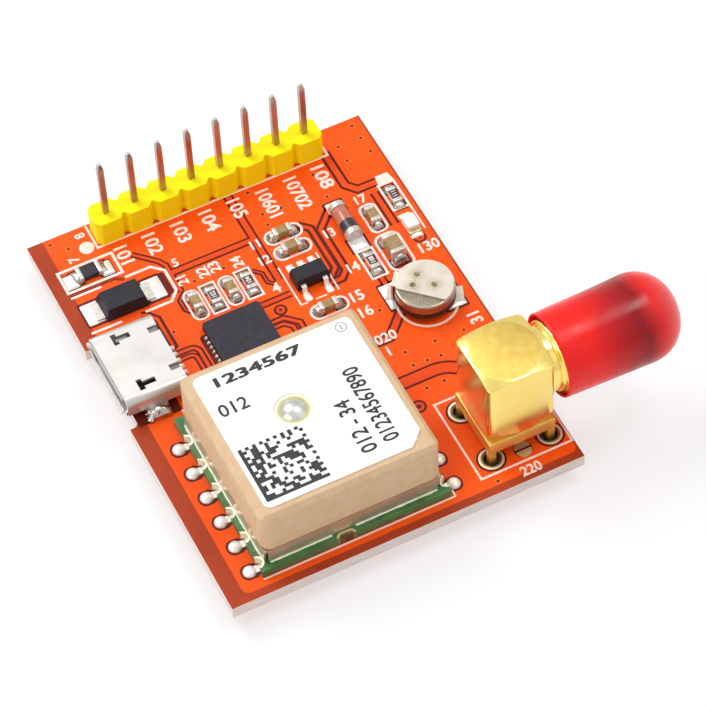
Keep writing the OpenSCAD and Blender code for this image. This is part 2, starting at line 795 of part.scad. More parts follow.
// Shaft through the patch and a low dome that rests on the electrode
module feed_pin() {
    ball_r = (feed_head_d * feed_head_d / 4 + feed_head_h * feed_head_h) / (2 * feed_head_h);
    color("silver") at_feed(0) {
        translate([0, 0, top + module_t / 2]) cylinder(h = patch_top + eps - top - module_t / 2, d = feed_d);
        intersection() {
            translate([0, 0, patch_top + feed_head_h - ball_r]) sphere(ball_r);
            translate([0, 0, patch_top]) cylinder(h = feed_head_h + eps, d = feed_head_d + eps);
        }
    }
}

// Package with one notched corner
module inner_piece(piece) {
    size = piece[2];
    color(piece[3]) at_module(can_z) translate([piece[1][0], piece[1][1], 0])
        linear_extrude(size[2]) difference() {
            square([size[0], size[1]], center = true);
            translate([-size[0] / 2, size[1] / 2]) rotate(45) square(inner_notch, center = true);
        }
}

// Outline of the shell, set inwards by inset; the lower corners slope at 45 degrees
module usb_outline(inset) {
    half = usb_w / 2;
    turn = inset * usb_bevel_turn;
    low = half - usb_slope - turn;
    polygon([[-low, inset], [low, inset], [half - inset, usb_slope + turn], [half - inset, usb_h - usb_r],
             [half - usb_r, usb_h - inset], [-half + usb_r, usb_h - inset],
             [-half + inset, usb_h - usb_r], [-half + inset, usb_slope + turn]]);
    for (y = [-1, 1]) {
        translate([y * (half - usb_r), usb_h - usb_r]) circle(usb_r - inset);
    }
}

module at_usb(x) {
    translate([x, usb_y, top]) children();
}

// Frustum between the shell's outline and the spread outline at the lips' ends
module lip_frustum(inset) {
    hull() {
        translate([-lip_l, 0, 0]) rotate([90, 0, 90]) linear_extrude(eps) usb_outline(inset - lip_spread);
        translate([-eps, 0, 0]) rotate([90, 0, 90]) linear_extrude(eps) usb_outline(inset);
    }
}

// Flared lips on the top, the bottom and both sides, open at the corners
module usb_lips() {
    side_low = usb_slope + usb_t;
    side_high = usb_h - usb_r - usb_t;
    reach = usb_w + 4 * lip_spread;
    intersection() {
        difference() {
            lip_frustum(0, $fn = 24);
            lip_frustum(usb_t, $fn = 24);
        }
        union() {
            translate([-lip_l, -usb_w / 2 + usb_r, usb_h / 2]) cube([lip_l, usb_w - 2 * usb_r, usb_h]);
            translate([-lip_l, -reach / 2, side_low]) cube([lip_l, reach, side_high - side_low]);
            translate([-lip_l, -usb_w / 2 + usb_slope + usb_t, -usb_h / 2])
                cube([lip_l, usb_w - 2 * usb_slope - 2 * usb_t, usb_h]);
        }
    }
}

module latch_window() {
    translate([0, -window_head_w / 2, 0]) cube([window_head_l, window_head_w, 3 * usb_t]);
    translate([window_head_l - eps, -window_stem_w / 2, 0]) cube([window_stem_l, window_stem_w, 3 * usb_t]);
}

// Side foot: a strip straight down from the side wall and a flange on the board
module usb_foot() {
    translate([0, usb_w / 2 - usb_t, 0]) cube([foot_l, usb_t, usb_slope + 2 * usb_t]);
    translate([0, usb_w / 2 - usb_t, 0]) cube([foot_l, usb_t + foot_out, usb_t]);
}

module usb_shell() {
    tail_room = (contact_count - 1) * contact_pitch + 3 * contact_w;
    color("whitesmoke") at_usb(usb_x) {
        difference() {
            rotate([90, 0, 90]) linear_extrude(usb_l) difference() {
                usb_outline(0);
                usb_outline(usb_t);
            }
            for (y = [-1, 1]) {
                translate([window_x, y * window_spread, usb_h - 2 * usb_t]) latch_window();
                translate([usb_l - rear_slot_l, y * rear_slot_spread - rear_slot_w / 2, usb_h - 2 * usb_t])
                    cube([rear_slot_l + eps, rear_slot_w, 3 * usb_t]);
            }
            translate([usb_l - block_l, -tail_room / 2, -usb_t])
                cube([block_l + eps, tail_room, 2 * usb_t + eps]);
        }
        usb_lips();
        translate([foot_x, 0, 0]) {
            usb_foot();
            mirror([0, 1, 0]) usb_foot();
        }
    }
}

// One contact: strip under the tongue, a step down behind it and a tail on the board
module usb_contact(i) {
    tip_x = lip_l + contact_w;
    step_x = usb_l - block_l / 2;
    under = tongue_z - tongue_t / 2;
    translate([0, contact_y(i), 0]) along_y(contact_w)
        polygon([[tip_x, under - contact_t], [step_x, under - contact_t], [step_x, 0],
                 [usb_l + contact_tail, 0], [usb_l + contact_tail, contact_t],
                 [step_x + contact_t, contact_t], [step_x + contact_t, under], [tip_x, under]]);
}

module usb_contacts() {
    color("gold") at_usb(usb_x) for (i = [0 : contact_count - 1]) {
        usb_contact(i);
    }
}

module usb_insulator() {
    color("black") at_usb(usb_x) difference() {
        union() {
            translate([usb_l - block_l, 0, 0]) rotate([90, 0, 90])
                linear_extrude(block_l - block_inset) usb_outline(usb_t);
            translate([lip_l, -tongue_w / 2, tongue_z - tongue_t / 2])
                cube([usb_l - block_l - lip_l + eps, tongue_w, tongue_t]);
        }
        for (i = [0 : contact_count - 1]) {
            usb_contact(i);
        }
    }
}

module at_diode() {
    translate([diode_at[0], diode_at[1], top]) children();
}

module diode_body() {
    color("dimgray") at_diode() moulded_block(diode_l, diode_w, diode_h, diode_draft, tab_t);
}

// Flat tabs that leave the body's ends and lie on the board
module diode_tabs() {
    color("silver") at_diode() for (x = [-1, 1]) {
        translate([x * (diode_l + tab_out) / 2, 0, tab_t / 2]) cube([tab_out, tab_w, tab_t], center = true);
    }
}

// Chip: a block between two metal ends that stand slightly proud of it
module chip_part(chip) {
    size = chip[3];
    core = [size[0] - 2 * chip_end, size[1] - 2 * chip_proud, size[2] - 2 * chip_proud];
    color(chip[4]) translate([chip[1][0], chip[1][1], top]) rotate(chip[2]) {
        translate([-core[0] / 2, -core[1] / 2, chip_proud]) cube(core);
        for (x = [-1, 1]) {
            translate([x * (size[0] - chip_end) / 2 - chip_end / 2, -size[1] / 2, 0])
                cube([chip_end, size[1], size[2]]);
        }
    }
}

module at_bridge() {
    translate([bridge_at[0], bridge_at[1], top]) children();
}

module bridge_chip() {
    corner = bridge_pad_w;
    color("darkslategray") at_bridge() translate([0, 0, bridge_pad_h]) linear_extrude(bridge_h - bridge_pad_h)
        difference() {
            square(bridge_w, center = true);
            for (turn = [0 : 90 : 270]) {
                rotate(turn) translate([bridge_w / 2, bridge_w / 2]) rotate(45) square(corner, center = true);
            }
        }
}

module bridge_pads() {
    color("silver") at_bridge() {
        translate([-bridge_slug_w / 2, -bridge_slug_w / 2, 0])
            cube([bridge_slug_w, bridge_slug_w, bridge_pad_h]);
        for (turn = [0 : 90 : 270], i = [0 : bridge_count - 1]) {
            rotate(turn)
                translate([bridge_w / 2 + bridge_pad_out - bridge_pad_l,
                           (i - (bridge_count - 1) / 2) * bridge_pitch - bridge_pad_w / 2, 0])
                cube([bridge_pad_l, bridge_pad_w, bridge_pad_h]);
        }
    }
}

module at_regulator() {
    translate([regulator_at[0], regulator_at[1], top]) children();
}

module regulator_body() {
    color("dimgray") at_regulator() translate([0, 0, regulator_gap])
        moulded_block(regulator_l, regulator_w, regulator_h, regulator_draft, (regulator_h + lead_t) / 2);
}

// Gull-wing lead from the body's parting line down to its foot
module regulator_lead() {
    start = regulator_w / 2;
    tip = lead_span / 2;
    bend = start + (tip - start) / 2;
    mid = regulator_gap + regulator_h / 2;
    along_x(lead_w)
        polygon([[start, mid - lead_t / 2], [bend - lead_t, mid - lead_t / 2], [bend - lead_t, 0], [tip, 0],
                 [tip, lead_t], [bend, lead_t], [bend, mid + lead_t / 2], [start, mid + lead_t / 2]]);
}

module regulator_leads() {
    color("silver") at_regulator() {
        for (i = [-1 : 1]) {
            translate([i * lead_pitch, 0, 0]) regulator_lead();
        }
        for (i = [-1, 1]) {
            translate([i * lead_pitch, 0, 0]) mirror([0, 1, 0]) regulator_lead();
        }
    }
}

// The glass diode lies along Y on its two metal ends
module at_glass() {
    translate([glass_at[0], glass_at[1], top + glass_end_d / 2]) rotate([90, 0, 0]) children();
}

module glass_tube() {
    color("coral", 0.6) at_glass() difference() {
        cylinder(h = glass_l, d = glass_d, center = true);
        cylinder(h = glass_l + 2 * eps, d = stud_d, center = true);
    }
}

module glass_ends() {
    color("silver") at_glass() for (side = [0, 1]) {
        mirror([0, 0, side]) {
            translate([0, 0, glass_l / 2]) cylinder(h = glass_end_l, d = glass_end_d);
            translate([0, 0, die_t / 2]) cylinder(h = glass_l / 2 - die_t / 2 + eps, d = stud_d);
        }
    }
}

module glass_die() {
    die_w = stud_d / 2;
    color("black") at_glass() cube([die_w, die_w, die_t], center = true);
}

// Carrier and a lens with sloped sides
module lamp() {
    lens_l = lamp_lens_l;
    slope = lamp_lens_slope;
    color("white") translate([lamp_at[0], lamp_at[1], top]) rotate(90) {
        translate([-lamp_l / 2, -lamp_w / 2, 0]) cube([lamp_l, lamp_w, lamp_base_h]);
        along_y(lamp_w) polygon([[-lens_l / 2, 0], [lens_l / 2, 0], [lens_l / 2, lamp_base_h],
                                 [lens_l / 2 - slope, lamp_base_h + lamp_lens_h],
                                 [-lens_l / 2 + slope, lamp_base_h + lamp_lens_h],
                                 [-lens_l / 2, lamp_base_h]]);
    }
}

module at_cell(z) {
    translate([cell_at[0], cell_at[1], top + z]) children();
}

// Turned outline: a can with rounded edges over a smaller lid
module coin_cell() {
    r = cell_d / 2;
    color("silver") at_cell(cell_lift) rotate_extrude() {
        square([cell_lid_d / 2, cell_h]);
        translate([0, cell_lid_h]) square([r - cell_edge_r, cell_h - cell_lid_h]);
        translate([0, cell_lid_h + cell_edge_r]) square([r, cell_h - cell_lid_h - 2 * cell_edge_r]);
        for (z = [cell_lid_h + cell_edge_r, cell_h - cell_edge_r]) {
            translate([r - cell_edge_r, z]) circle(cell_edge_r);
        }
    }
}

// Upper tab: a round plate with one straight side, and a leg over the edge down to its foot
module cell_top_tab() {
    high = cell_lift + cell_h;
    edge = cell_d / 2;
    color("lightgray") at_cell(0) {
        translate([0, 0, high]) linear_extrude(cell_tab_t) difference() {
            circle(edge - cell_edge_r / 2);
            rotate(cell_tab_turn) translate([-cell_d, -cell_tab_cut - cell_d]) square([2 * cell_d, cell_d]);
        }
        rotate(cell_leg_turn) along_y(cell_leg_w)
            polygon([[0, high], [edge, high], [edge, 0], [edge + cell_foot, 0],
                     [edge + cell_foot, cell_tab_t],
                     [edge + cell_tab_t, cell_tab_t], [edge + cell_tab_t, high + cell_tab_t],
                     [0, high + cell_tab_t]]);
    }
}

// Lower tab: from its foot on the board up to the lid and along it
module cell_bottom_tab() {
    step = cell_lid_d / 2;
    reach = cell_d / 2 + cell_foot;
    color("lightgray") at_cell(0) rotate(cell_low_turn) along_y(cell_leg_w)
        polygon([[reach, 0], [step, 0], [step, cell_lift - cell_tab_t], [0, cell_lift - cell_tab_t],
                 [0, cell_lift], [step + cell_tab_t, cell_lift], [step + cell_tab_t, cell_tab_t],
                 [reach, cell_tab_t]]);
}

module at_jack() {
    translate([jack_x, jack_y, jack_z]) children();
}

// Cylinder along the barrel's axis, from x0 to x1
module barrel_cylinder(x0, x1, d) {
    translate([x0, 0, 0]) rotate([0, 90, 0]) cylinder(h = x1 - x0, d = d);
}

// Square body with turned corners, as on a nut
module jack_block() {
    corner_r = jack_w * sqrt(2) / 2;
    turned_r = jack_turned_d / 2;
    high = jack_above - (corner_r - turned_r) * tan(corner_angle_above);
    low = (corner_r - turned_r) * tan(corner_angle_below) - jack_under;
    intersection() {
        translate([-jack_w / 2, -jack_w / 2, -jack_under]) cube([jack_w, jack_w, jack_under + jack_above]);
        rotate_extrude() polygon([[0, -jack_under], [turned_r, -jack_under], [corner_r, low],
                                  [corner_r, high], [turned_r, jack_above], [0, jack_above]]);
    }
}

module jack_body() {
    leg_l = base_low - leg_end;
    color("goldenrod") at_jack() difference() {
        union() {
            jack_block();
            translate([0, 0, -jack_under - neck_h]) cylinder(h = neck_h + eps, d = neck_d);
            translate([-base_w / 2, -base_w / 2, base_low]) cube([base_w, base_w, base_t]);
            for (x = [-1, 1], y = [-1, 1]) {
                translate([x * leg_pitch / 2 - leg_w / 2, y * leg_pitch / 2 - leg_w / 2, leg_end])
                    cube([leg_w, leg_w, leg_l + eps]);
            }
        }
        barrel_cylinder(-insulator_back, jack_w / 2 + eps, insulator_d);
        barrel_cylinder(jack_w / 2 - spigot_l, jack_w / 2 + eps, spigot_d);
        translate([0, 0, base_low - eps]) cylinder(h = -base_low + eps, d = riser_d);
    }
}

module jack_barrel() {
    start = jack_w / 2;
    color("gold") at_jack() difference() {
        union() {
            barrel_cylinder(start - spigot_l, start + eps, spigot_d);
            barrel_cylinder(start, start + root_l + eps, root_d);
            barrel_cylinder(start + root_l, barrel_end - thread_chamfer, barrel_d);
            translate([barrel_end - thread_chamfer - eps, 0, 0]) rotate([0, 90, 0])
                cylinder(h = thread_chamfer + eps, d1 = barrel_d, d2 = barrel_d - 2 * thread_chamfer);
        }
        barrel_cylinder(start - spigot_l - eps, barrel_end + eps, insulator_d);
        barrel_cylinder(insulator_end, barrel_end + eps, mouth_d);
    }
}

module jack_insulator() {
    color("white") at_jack() difference() {
        union() {
            barrel_cylinder(-insulator_back, insulator_end, insulator_d);
            translate([0, 0, base_low]) cylinder(h = -base_low, d = riser_d);
        }
        barrel_cylinder(-contact_d / 2, insulator_end + eps, contact_d);
        translate([0, 0, base_low - eps]) cylinder(h = -base_low + eps, d = tail_d);
    }
}

module jack_contact() {
    color("gold") at_jack() difference() {
        union() {
            barrel_cylinder(-contact_d / 2, insulator_end, contact_d);
            translate([0, 0, leg_end]) cylinder(h = -leg_end, d = tail_d);
        }
        barrel_cylinder(insulator_end - socket_depth, insulator_end + eps, socket_d);
    }
}

module jack_solder() {
    color("silver") for (x = [-1, 1], y = [-1, 1]) {
        translate([jack_x + x * leg_pitch / 2, jack_y + y * leg_pitch / 2, 0]) solder_cone(leg_w);
    }
}

// Soft cap, turned about the barrel's axis: slightly wider towards its rounded closed end
module dust_cap() {
    end_r = cap_end_d / 2;
    color("red", 0.8) at_jack() translate([cap_x, 0, 0]) rotate([0, 90, 0]) difference() {
        rotate_extrude() {
            polygon([[0, 0], [cap_mouth_d / 2, 0], [end_r, cap_l - cap_round], [0, cap_l - cap_round]]);
            square([end_r - cap_round, cap_l]);
            translate([end_r - cap_round, cap_l - cap_round]) intersection() {
                circle(cap_round);
                square(cap_round);
            }
        }
        translate([0, 0, -eps]) cylinder(h = cap_inner_l + eps, d = cap_inner_d);
    }
}

pcb();
header_strip();
for (i = [0 : pin_count - 1]) {
    header_pin(i);
}
header_solder();
module_board();
module_solder();
shield_can();
patch_tape();
patch_ceramic();
patch_electrode();
patch_label();
feed_pin();
for (piece = INNER) {
    inner_piece(piece);
}
usb_shell();
usb_insulator();
usb_contacts();
diode_body();
diode_tabs();
for (chip = CHIPS) {
    chip_part(chip);
}
bridge_chip();
bridge_pads();
regulator_body();
regulator_leads();
glass_tube();
glass_ends();
glass_die();
lamp();
coin_cell();
cell_top_tab();
cell_bottom_tab();
jack_body();
jack_barrel();
jack_insulator();
jack_contact();
jack_solder();
dust_cap();
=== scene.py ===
import math
import random

import bmesh
import bpy
from mathutils import Matrix, Vector


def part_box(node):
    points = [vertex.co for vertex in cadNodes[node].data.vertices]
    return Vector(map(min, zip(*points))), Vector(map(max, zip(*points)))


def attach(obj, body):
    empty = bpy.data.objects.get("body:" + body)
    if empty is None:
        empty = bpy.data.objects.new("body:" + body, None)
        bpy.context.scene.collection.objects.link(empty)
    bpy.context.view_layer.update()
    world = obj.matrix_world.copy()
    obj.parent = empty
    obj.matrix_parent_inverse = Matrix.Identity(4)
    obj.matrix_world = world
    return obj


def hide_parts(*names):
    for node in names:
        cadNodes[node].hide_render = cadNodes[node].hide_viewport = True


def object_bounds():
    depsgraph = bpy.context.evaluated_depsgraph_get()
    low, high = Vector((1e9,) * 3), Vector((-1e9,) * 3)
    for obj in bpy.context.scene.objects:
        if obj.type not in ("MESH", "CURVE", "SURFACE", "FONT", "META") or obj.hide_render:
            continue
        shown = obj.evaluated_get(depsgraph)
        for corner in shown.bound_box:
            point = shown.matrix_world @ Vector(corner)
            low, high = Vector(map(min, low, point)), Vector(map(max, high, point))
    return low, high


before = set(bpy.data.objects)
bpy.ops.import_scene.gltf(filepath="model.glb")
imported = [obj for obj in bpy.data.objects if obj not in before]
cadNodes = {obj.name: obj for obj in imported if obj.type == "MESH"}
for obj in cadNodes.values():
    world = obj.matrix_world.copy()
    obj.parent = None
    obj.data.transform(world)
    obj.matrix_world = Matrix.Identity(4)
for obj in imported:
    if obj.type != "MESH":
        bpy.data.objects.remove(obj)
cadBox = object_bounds()
mm = 0.001
micron = 0.000001
dice = random.Random(11)

# Faces that overlap are kept this many mm apart
tinyStep = 0.0008


def boxOf(node):
    low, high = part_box(node)
    return low / mm, high / mm


def middleOf(node):
    low, high = boxOf(node)
    return (low + high) / 2


boardLow, boardHigh = boxOf("pcb")
boardTop = boardHigh.z
print("frame loaded, board top at", round(boardTop, 3), "mm")


# Colours are written as they look on screen, 0 to 255
def paint(red, green, blue):
    def linear(level):
        level /= 255
        return level / 12.92 if level <= 0.04045 else ((level + 0.055) / 1.055) ** 2.4
    return linear(red), linear(green), linear(blue), 1.0


# Finish helpers: one node tree for each finish, all driven by the part's own coordinates
def startFinish(name):
    finish = bpy.data.materials.new(name)
    finish.use_nodes = True
    tree = finish.node_tree
    return finish, tree, tree.nodes["Principled BSDF"]


def ownPlace(tree):
    return tree.nodes.new("ShaderNodeTexCoord").outputs["Object"]


def grain(tree, scale, detail, stretch=(1, 1, 1)):
    mapping = tree.nodes.new("ShaderNodeMapping")
    mapping.inputs["Scale"].default_value = stretch
    noise = tree.nodes.new("ShaderNodeTexNoise")
    noise.inputs["Scale"].default_value = scale
    noise.inputs["Detail"].default_value = detail
    tree.links.new(ownPlace(tree), mapping.inputs["Vector"])
    tree.links.new(mapping.outputs["Vector"], noise.inputs["Vector"])
    return noise.outputs["Fac"]


def tones(tree, factor, stops):
    ramp = tree.nodes.new("ShaderNodeValToRGB")
    marks = ramp.color_ramp.elements
    while len(marks) < len(stops):
        marks.new(0.5)
    for mark, (spot, colour) in zip(marks, stops):
        mark.position = spot
        mark.color = colour
    tree.links.new(factor, ramp.inputs["Fac"])
    return ramp.outputs["Color"]


def between(tree, value, fromLow, fromHigh, low, high):
    span = tree.nodes.new("ShaderNodeMapRange")
    for socket, number in (("From Min", fromLow), ("From Max", fromHigh), ("To Min", low), ("To Max", high)):
        span.inputs[socket].default_value = number
    tree.links.new(value, span.inputs["Value"])
    return span.outputs["Result"]


def blendColours(tree, factor, first, second):
    mix = tree.nodes.new("ShaderNodeMix")
    mix.data_type = "RGBA"
    tree.links.new(factor, mix.inputs["Factor"])
    for socket, colour in (("A", first), ("B", second)):
        entry = [s for s in mix.inputs if s.name == socket and s.type == "RGBA"][0]
        if isinstance(colour, tuple):
            entry.default_value = colour
        else:
            tree.links.new(colour, entry)
    return [s for s in mix.outputs if s.type == "RGBA"][0]


def reckon(tree, work, first, second=0):
    node = tree.nodes.new("ShaderNodeMath")
    node.operation = work
    for entry, value in zip(node.inputs, (first, second)):
        if isinstance(value, (int, float)):
            entry.default_value = value
        else:
            tree.links.new(value, entry)
    return node.outputs[0]


def axes(tree, source="Object"):
    split = tree.nodes.new("ShaderNodeSeparateXYZ")
    tree.links.new(tree.nodes.new("ShaderNodeTexCoord").outputs[source], split.inputs["Vector"])
    return split.outputs


# Distance in the board's plane from a spot given in mm
def farFrom(tree, x, y):
    shift = tree.nodes.new("ShaderNodeMapping")
    shift.inputs["Location"].default_value = (-x * mm, -y * mm, 0)
    shift.inputs["Scale"].default_value = (1, 1, 0)
    length = tree.nodes.new("ShaderNodeVectorMath")
    length.operation = "LENGTH"
    tree.links.new(ownPlace(tree), shift.inputs["Vector"])
    tree.links.new(shift.outputs["Vector"], length.inputs[0])
    return length.outputs["Value"]


# Most of a noise lies between these two values
noiseLow, noiseHigh = 0.3, 0.7


def twoTones(tree, factor, pair):
    return tones(tree, factor, [(noiseLow, paint(*pair[0])), (noiseHigh, paint(*pair[1]))])


def fromNoise(tree, noise, low, high):
    return between(tree, noise, noiseLow, noiseHigh, low, high)


# Joins colour, roughness and a bump to the shader and sets its other sockets; depth is in microns
def joinUp(tree, shader, colour, shine, height, depth, sockets):
    bump = tree.nodes.new("ShaderNodeBump")
    bump.inputs["Distance"].default_value = depth * micron
    tree.links.new(height, bump.inputs["Height"])
    for source, socket in ((colour, "Base Color"), (shine, "Roughness"), (bump.outputs["Normal"], "Normal")):
        tree.links.new(source, shader.inputs[socket])
    for socket, value in sockets.items():
        shader.inputs[socket].default_value = value


plainSteps = {"darkAt": 0.32, "lightAt": 0.68, "sheen": 2.3}


def plainFinish(name, light, dark, patch, fine, rough, depth, sockets, stretch):
    finish, tree, shader = startFinish(name)
    stops = [(plainSteps["darkAt"], paint(*dark)), (plainSteps["lightAt"], paint(*light))]
    colour = tones(tree, grain(tree, patch, 4), stops)
    shine = fromNoise(tree, grain(tree, patch * plainSteps["sheen"], 3, stretch), *rough)
    joinUp(tree, shader, colour, shine, grain(tree, fine, 3, stretch), depth, sockets)
    return finish


dull = {"Specular IOR Level": 0.2}
maskLook = {
    "copper": ((250, 82, 6), (255, 92, 12)), "bare": ((160, 55, 20), (174, 63, 28)),
    "fibre": ((214, 194, 186), (238, 224, 218)), "rough": (0.34, 0.46), "depth": 4,
    "leftStrip": -13.62, "rightStrip": 14.84, "frontStrip": -18.8, "corner": 0.6, "soft": 0.05,
}


# Solder mask over the copper pour, darker where the copper stops, pale glass fibre on the sawn edges
def maskFinish():
    finish, tree, shader = startFinish("orangeMask")
    wide = grain(tree, 260, 5)
    copper, bare = (twoTones(tree, wide, maskLook[key]) for key in ("copper", "bare"))
    place = axes(tree)
    left, right, front = (maskLook[key] * mm for key in ("leftStrip", "rightStrip", "frontStrip"))
    corner, soft = maskLook["corner"] * mm, maskLook["soft"] * mm
    sideways = reckon(tree, "MAXIMUM", reckon(tree, "SUBTRACT", left + corner, place["X"]),
                      reckon(tree, "SUBTRACT", place["X"], right - corner))
    sideways = reckon(tree, "MAXIMUM", sideways)
    ahead = reckon(tree, "MAXIMUM", reckon(tree, "SUBTRACT", front + corner, place["Y"]))
    squares = reckon(tree, "ADD", reckon(tree, "MULTIPLY", sideways, sideways),
                     reckon(tree, "MULTIPLY", ahead, ahead))
    strips = between(tree, reckon(tree, "SQRT", squares), corner - soft, corner + soft, 0, 1)
    face = blendColours(tree, strips, copper, bare)
    upright = reckon(tree, "ABSOLUTE", axes(tree, "Normal")["Z"])
    fibre = twoTones(tree, grain(tree, 900, 4, (0.4, 0.4, 9)), maskLook["fibre"])
    colour = blendColours(tree, between(tree, upright, 0.4, 0.6, 0, 1), fibre, face)
    shine = fromNoise(tree, grain(tree, 900, 3), *maskLook["rough"])
    height = reckon(tree, "ADD", grain(tree, 5200, 2), strips)
    joinUp(tree, shader, colour, shine, height, maskLook["depth"], dull)
    return finish


pinLook = {"lowerTone": ((168, 132, 118), (206, 176, 160)), "tip": (190, 184, 176), "tipFrom": 1.3, "tipTo": 0.5,
           "rough": (0.24, 0.42), "depth": 3, "metal": 0.9}


# Header pins: pinkish brown metal, paler towards the tapered tips
def pinFinish():
    finish, tree, shader = startFinish("headerPinMetal")
    pinTop = boxOf("header_pin_1")[1].z
    lowerTone = twoTones(tree, grain(tree, 900, 4, (1, 1, 0.3)), pinLook["lowerTone"])
    first, last = (pinTop - pinLook["tipFrom"]) * mm, (pinTop - pinLook["tipTo"]) * mm
    tip = between(tree, axes(tree)["Z"], first, last, 0, 1)
    colour = blendColours(tree, tip, lowerTone, paint(*pinLook["tip"]))
    shine = fromNoise(tree, grain(tree, 2400, 3, (1, 1, 0.2)), *pinLook["rough"])
    height = grain(tree, 6000, 2, (1, 1, 0.15))
    joinUp(tree, shader, colour, shine, height, pinLook["depth"], {"Metallic": pinLook["metal"]})
    return finish


fluxLook = {"inner": 1.0, "ring": 1.16, "outer": 1.27, "fade": 0.16, "span": 2, "uneven": 0.2,
            "flux": (192, 192, 120), "film": (234, 236, 218), "rough": (0.3, 0.5), "depth": 4, "metal": 0.35}


# Silver film with a ring of dried flux around the feed pin
def filmFinish():
    finish, tree, shader = startFinish("silverFilm")
    feed = middleOf("feed_pin")
    uneven = reckon(tree, "MULTIPLY", grain(tree, 900, 3), fluxLook["uneven"] * mm)
    away = reckon(tree, "ADD", farFrom(tree, feed.x, feed.y), uneven)
    part = between(tree, away, 0, fluxLook["span"] * mm, 0, 1)
    film, flux = paint(*fluxLook["film"]), paint(*fluxLook["flux"])
    radii = (fluxLook["inner"], fluxLook["ring"], fluxLook["outer"], fluxLook["outer"] + fluxLook["fade"])
    stops = [(radius / fluxLook["span"], colour) for radius, colour in zip(radii, (film, flux, flux, film))]
    colour = tones(tree, part, stops)
    shine = fromNoise(tree, grain(tree, 3000, 2), *fluxLook["rough"])
    height = grain(tree, 4000, 3)
    joinUp(tree, shader, colour, shine, height, fluxLook["depth"], {"Metallic": fluxLook["metal"]})
    return finish


weldLook = {"spots": ((10.98, 0.92), (10.2, 0.12), (11.75, -0.64)), "from": 0.15, "reach": 0.95, "most": 0.85,
            "patchy": (0.45, 1), "burnt": (166, 150, 98), "plate": ((206, 198, 184), (222, 214, 200)),
            "rough": (0.38, 0.52), "depth": 5, "metal": 0.6}


# Cell tab: matt nickel, tinted by heat around the weld spots
def tabFinish():
    finish, tree, shader = startFinish("nickelTab")
    sheet = twoTones(tree, grain(tree, 500, 4), weldLook["plate"])
    near = None
    for x, y in weldLook["spots"]:
        away = farFrom(tree, x, y)
        near = away if near is None else reckon(tree, "MINIMUM", near, away)
    heat = between(tree, near, weldLook["from"] * mm, weldLook["reach"] * mm, weldLook["most"], 0)
    heat = reckon(tree, "MULTIPLY", heat, fromNoise(tree, grain(tree, 1400, 4), *weldLook["patchy"]))
    colour = blendColours(tree, heat, sheet, paint(*weldLook["burnt"]))
    shine = fromNoise(tree, grain(tree, 1800, 3), *weldLook["rough"])
    height = grain(tree, 3600, 3)
    joinUp(tree, shader, colour, shine, height, weldLook["depth"], {"Metallic": weldLook["metal"]})
    return finish


goldLook = {"polished": ((255, 222, 118), (255, 231, 140)), "turned": ((205, 174, 86), (215, 189, 104)),
            "foot": ((222, 178, 92), (232, 192, 108)), "radius": 2.74, "footBelow": 2.38,
            "rough": (0.16, 0.24), "turnedRough": 0.3, "depth": 8, "metal": 1.0}


# Gold plate: polished sides and corners, a matt turned circle on the jack's upper face, a matt foot
def goldFinish():
    finish, tree, shader = startFinish("goldPlate")
    jackTop, jackMiddle = boxOf("jack_body")[1].z, middleOf("jack_body")
    away = farFrom(tree, jackMiddle.x, jackMiddle.y)
    level = axes(tree)["Z"]
    upper = between(tree, level, (jackTop - 0.02) * mm, (jackTop - 0.01) * mm, 0, 1)
    edge = goldLook["radius"] * mm
    circle = reckon(tree, "MULTIPLY", upper, between(tree, away, edge - 0.05 * mm, edge, 1, 0))
    footTop = boardTop + goldLook["footBelow"]
    foot = between(tree, level, (footTop - 0.02) * mm, footTop * mm, 1, 0)
    wide, fine = grain(tree, 420, 4), grain(tree, 1500, 5)
    bright = twoTones(tree, wide, goldLook["polished"])
    faces = blendColours(tree, foot, bright, twoTones(tree, fine, goldLook["foot"]))
    colour = blendColours(tree, circle, faces, twoTones(tree, fine, goldLook["turned"]))
    worn = reckon(tree, "MULTIPLY", reckon(tree, "MAXIMUM", circle, foot), goldLook["turnedRough"])
    shine = reckon(tree, "ADD", fromNoise(tree, wide, *goldLook["rough"]), worn)
    height = reckon(tree, "MULTIPLY", fine, reckon(tree, "ADD", circle, 0.1))
    joinUp(tree, shader, colour, shine, height, goldLook["depth"], {"Metallic": goldLook["metal"]})
    return finish


# Colour along the cap: painted shade over the middle, painted highlight at the closed end
vinylShadeLook = {"along": ((14.8, (238, 26, 20)), (17.4, (242, 22, 16)), (19.8, (184, 4, 14)),
                       (21.6, (142, 1, 13)), (23.2, (232, 34, 34)), (25.6, (255, 104, 100))),
             "wander": 1.6, "rough": (0.2, 0.4), "depth": 120,
             "sockets": {"Specular IOR Level": 0.32, "Subsurface Weight": 0.2,
                         "Subsurface Radius": (0.002, 0.0003, 0.0003)}}


# Dipped vinyl: darker where the barrel ends inside it as painted shade, lighter towards the closed end as a
# painted highlight
def vinylFinish():
    finish, tree, shader = startFinish("redVinyl")
    first, last = vinylShadeLook["along"][0][0], vinylShadeLook["along"][-1][0]
    shift = vinylShadeLook["wander"] / 2
    wander = reckon(tree, "MULTIPLY", grain(tree, 300, 3), vinylShadeLook["wander"] * mm)
    place = reckon(tree, "ADD", axes(tree)["X"], wander)
    along = between(tree, place, (first + shift) * mm, (last + shift) * mm, 0, 1)
    stops = [((x - first) / (last - first), paint(*colour)) for x, colour in vinylShadeLook["along"]]
    colour = tones(tree, along, stops)
    shine = fromNoise(tree, grain(tree, 400, 3), *vinylShadeLook["rough"])
    joinUp(tree, shader, colour, shine, grain(tree, 300, 2), vinylShadeLook["depth"], vinylShadeLook["sockets"])
    return finish


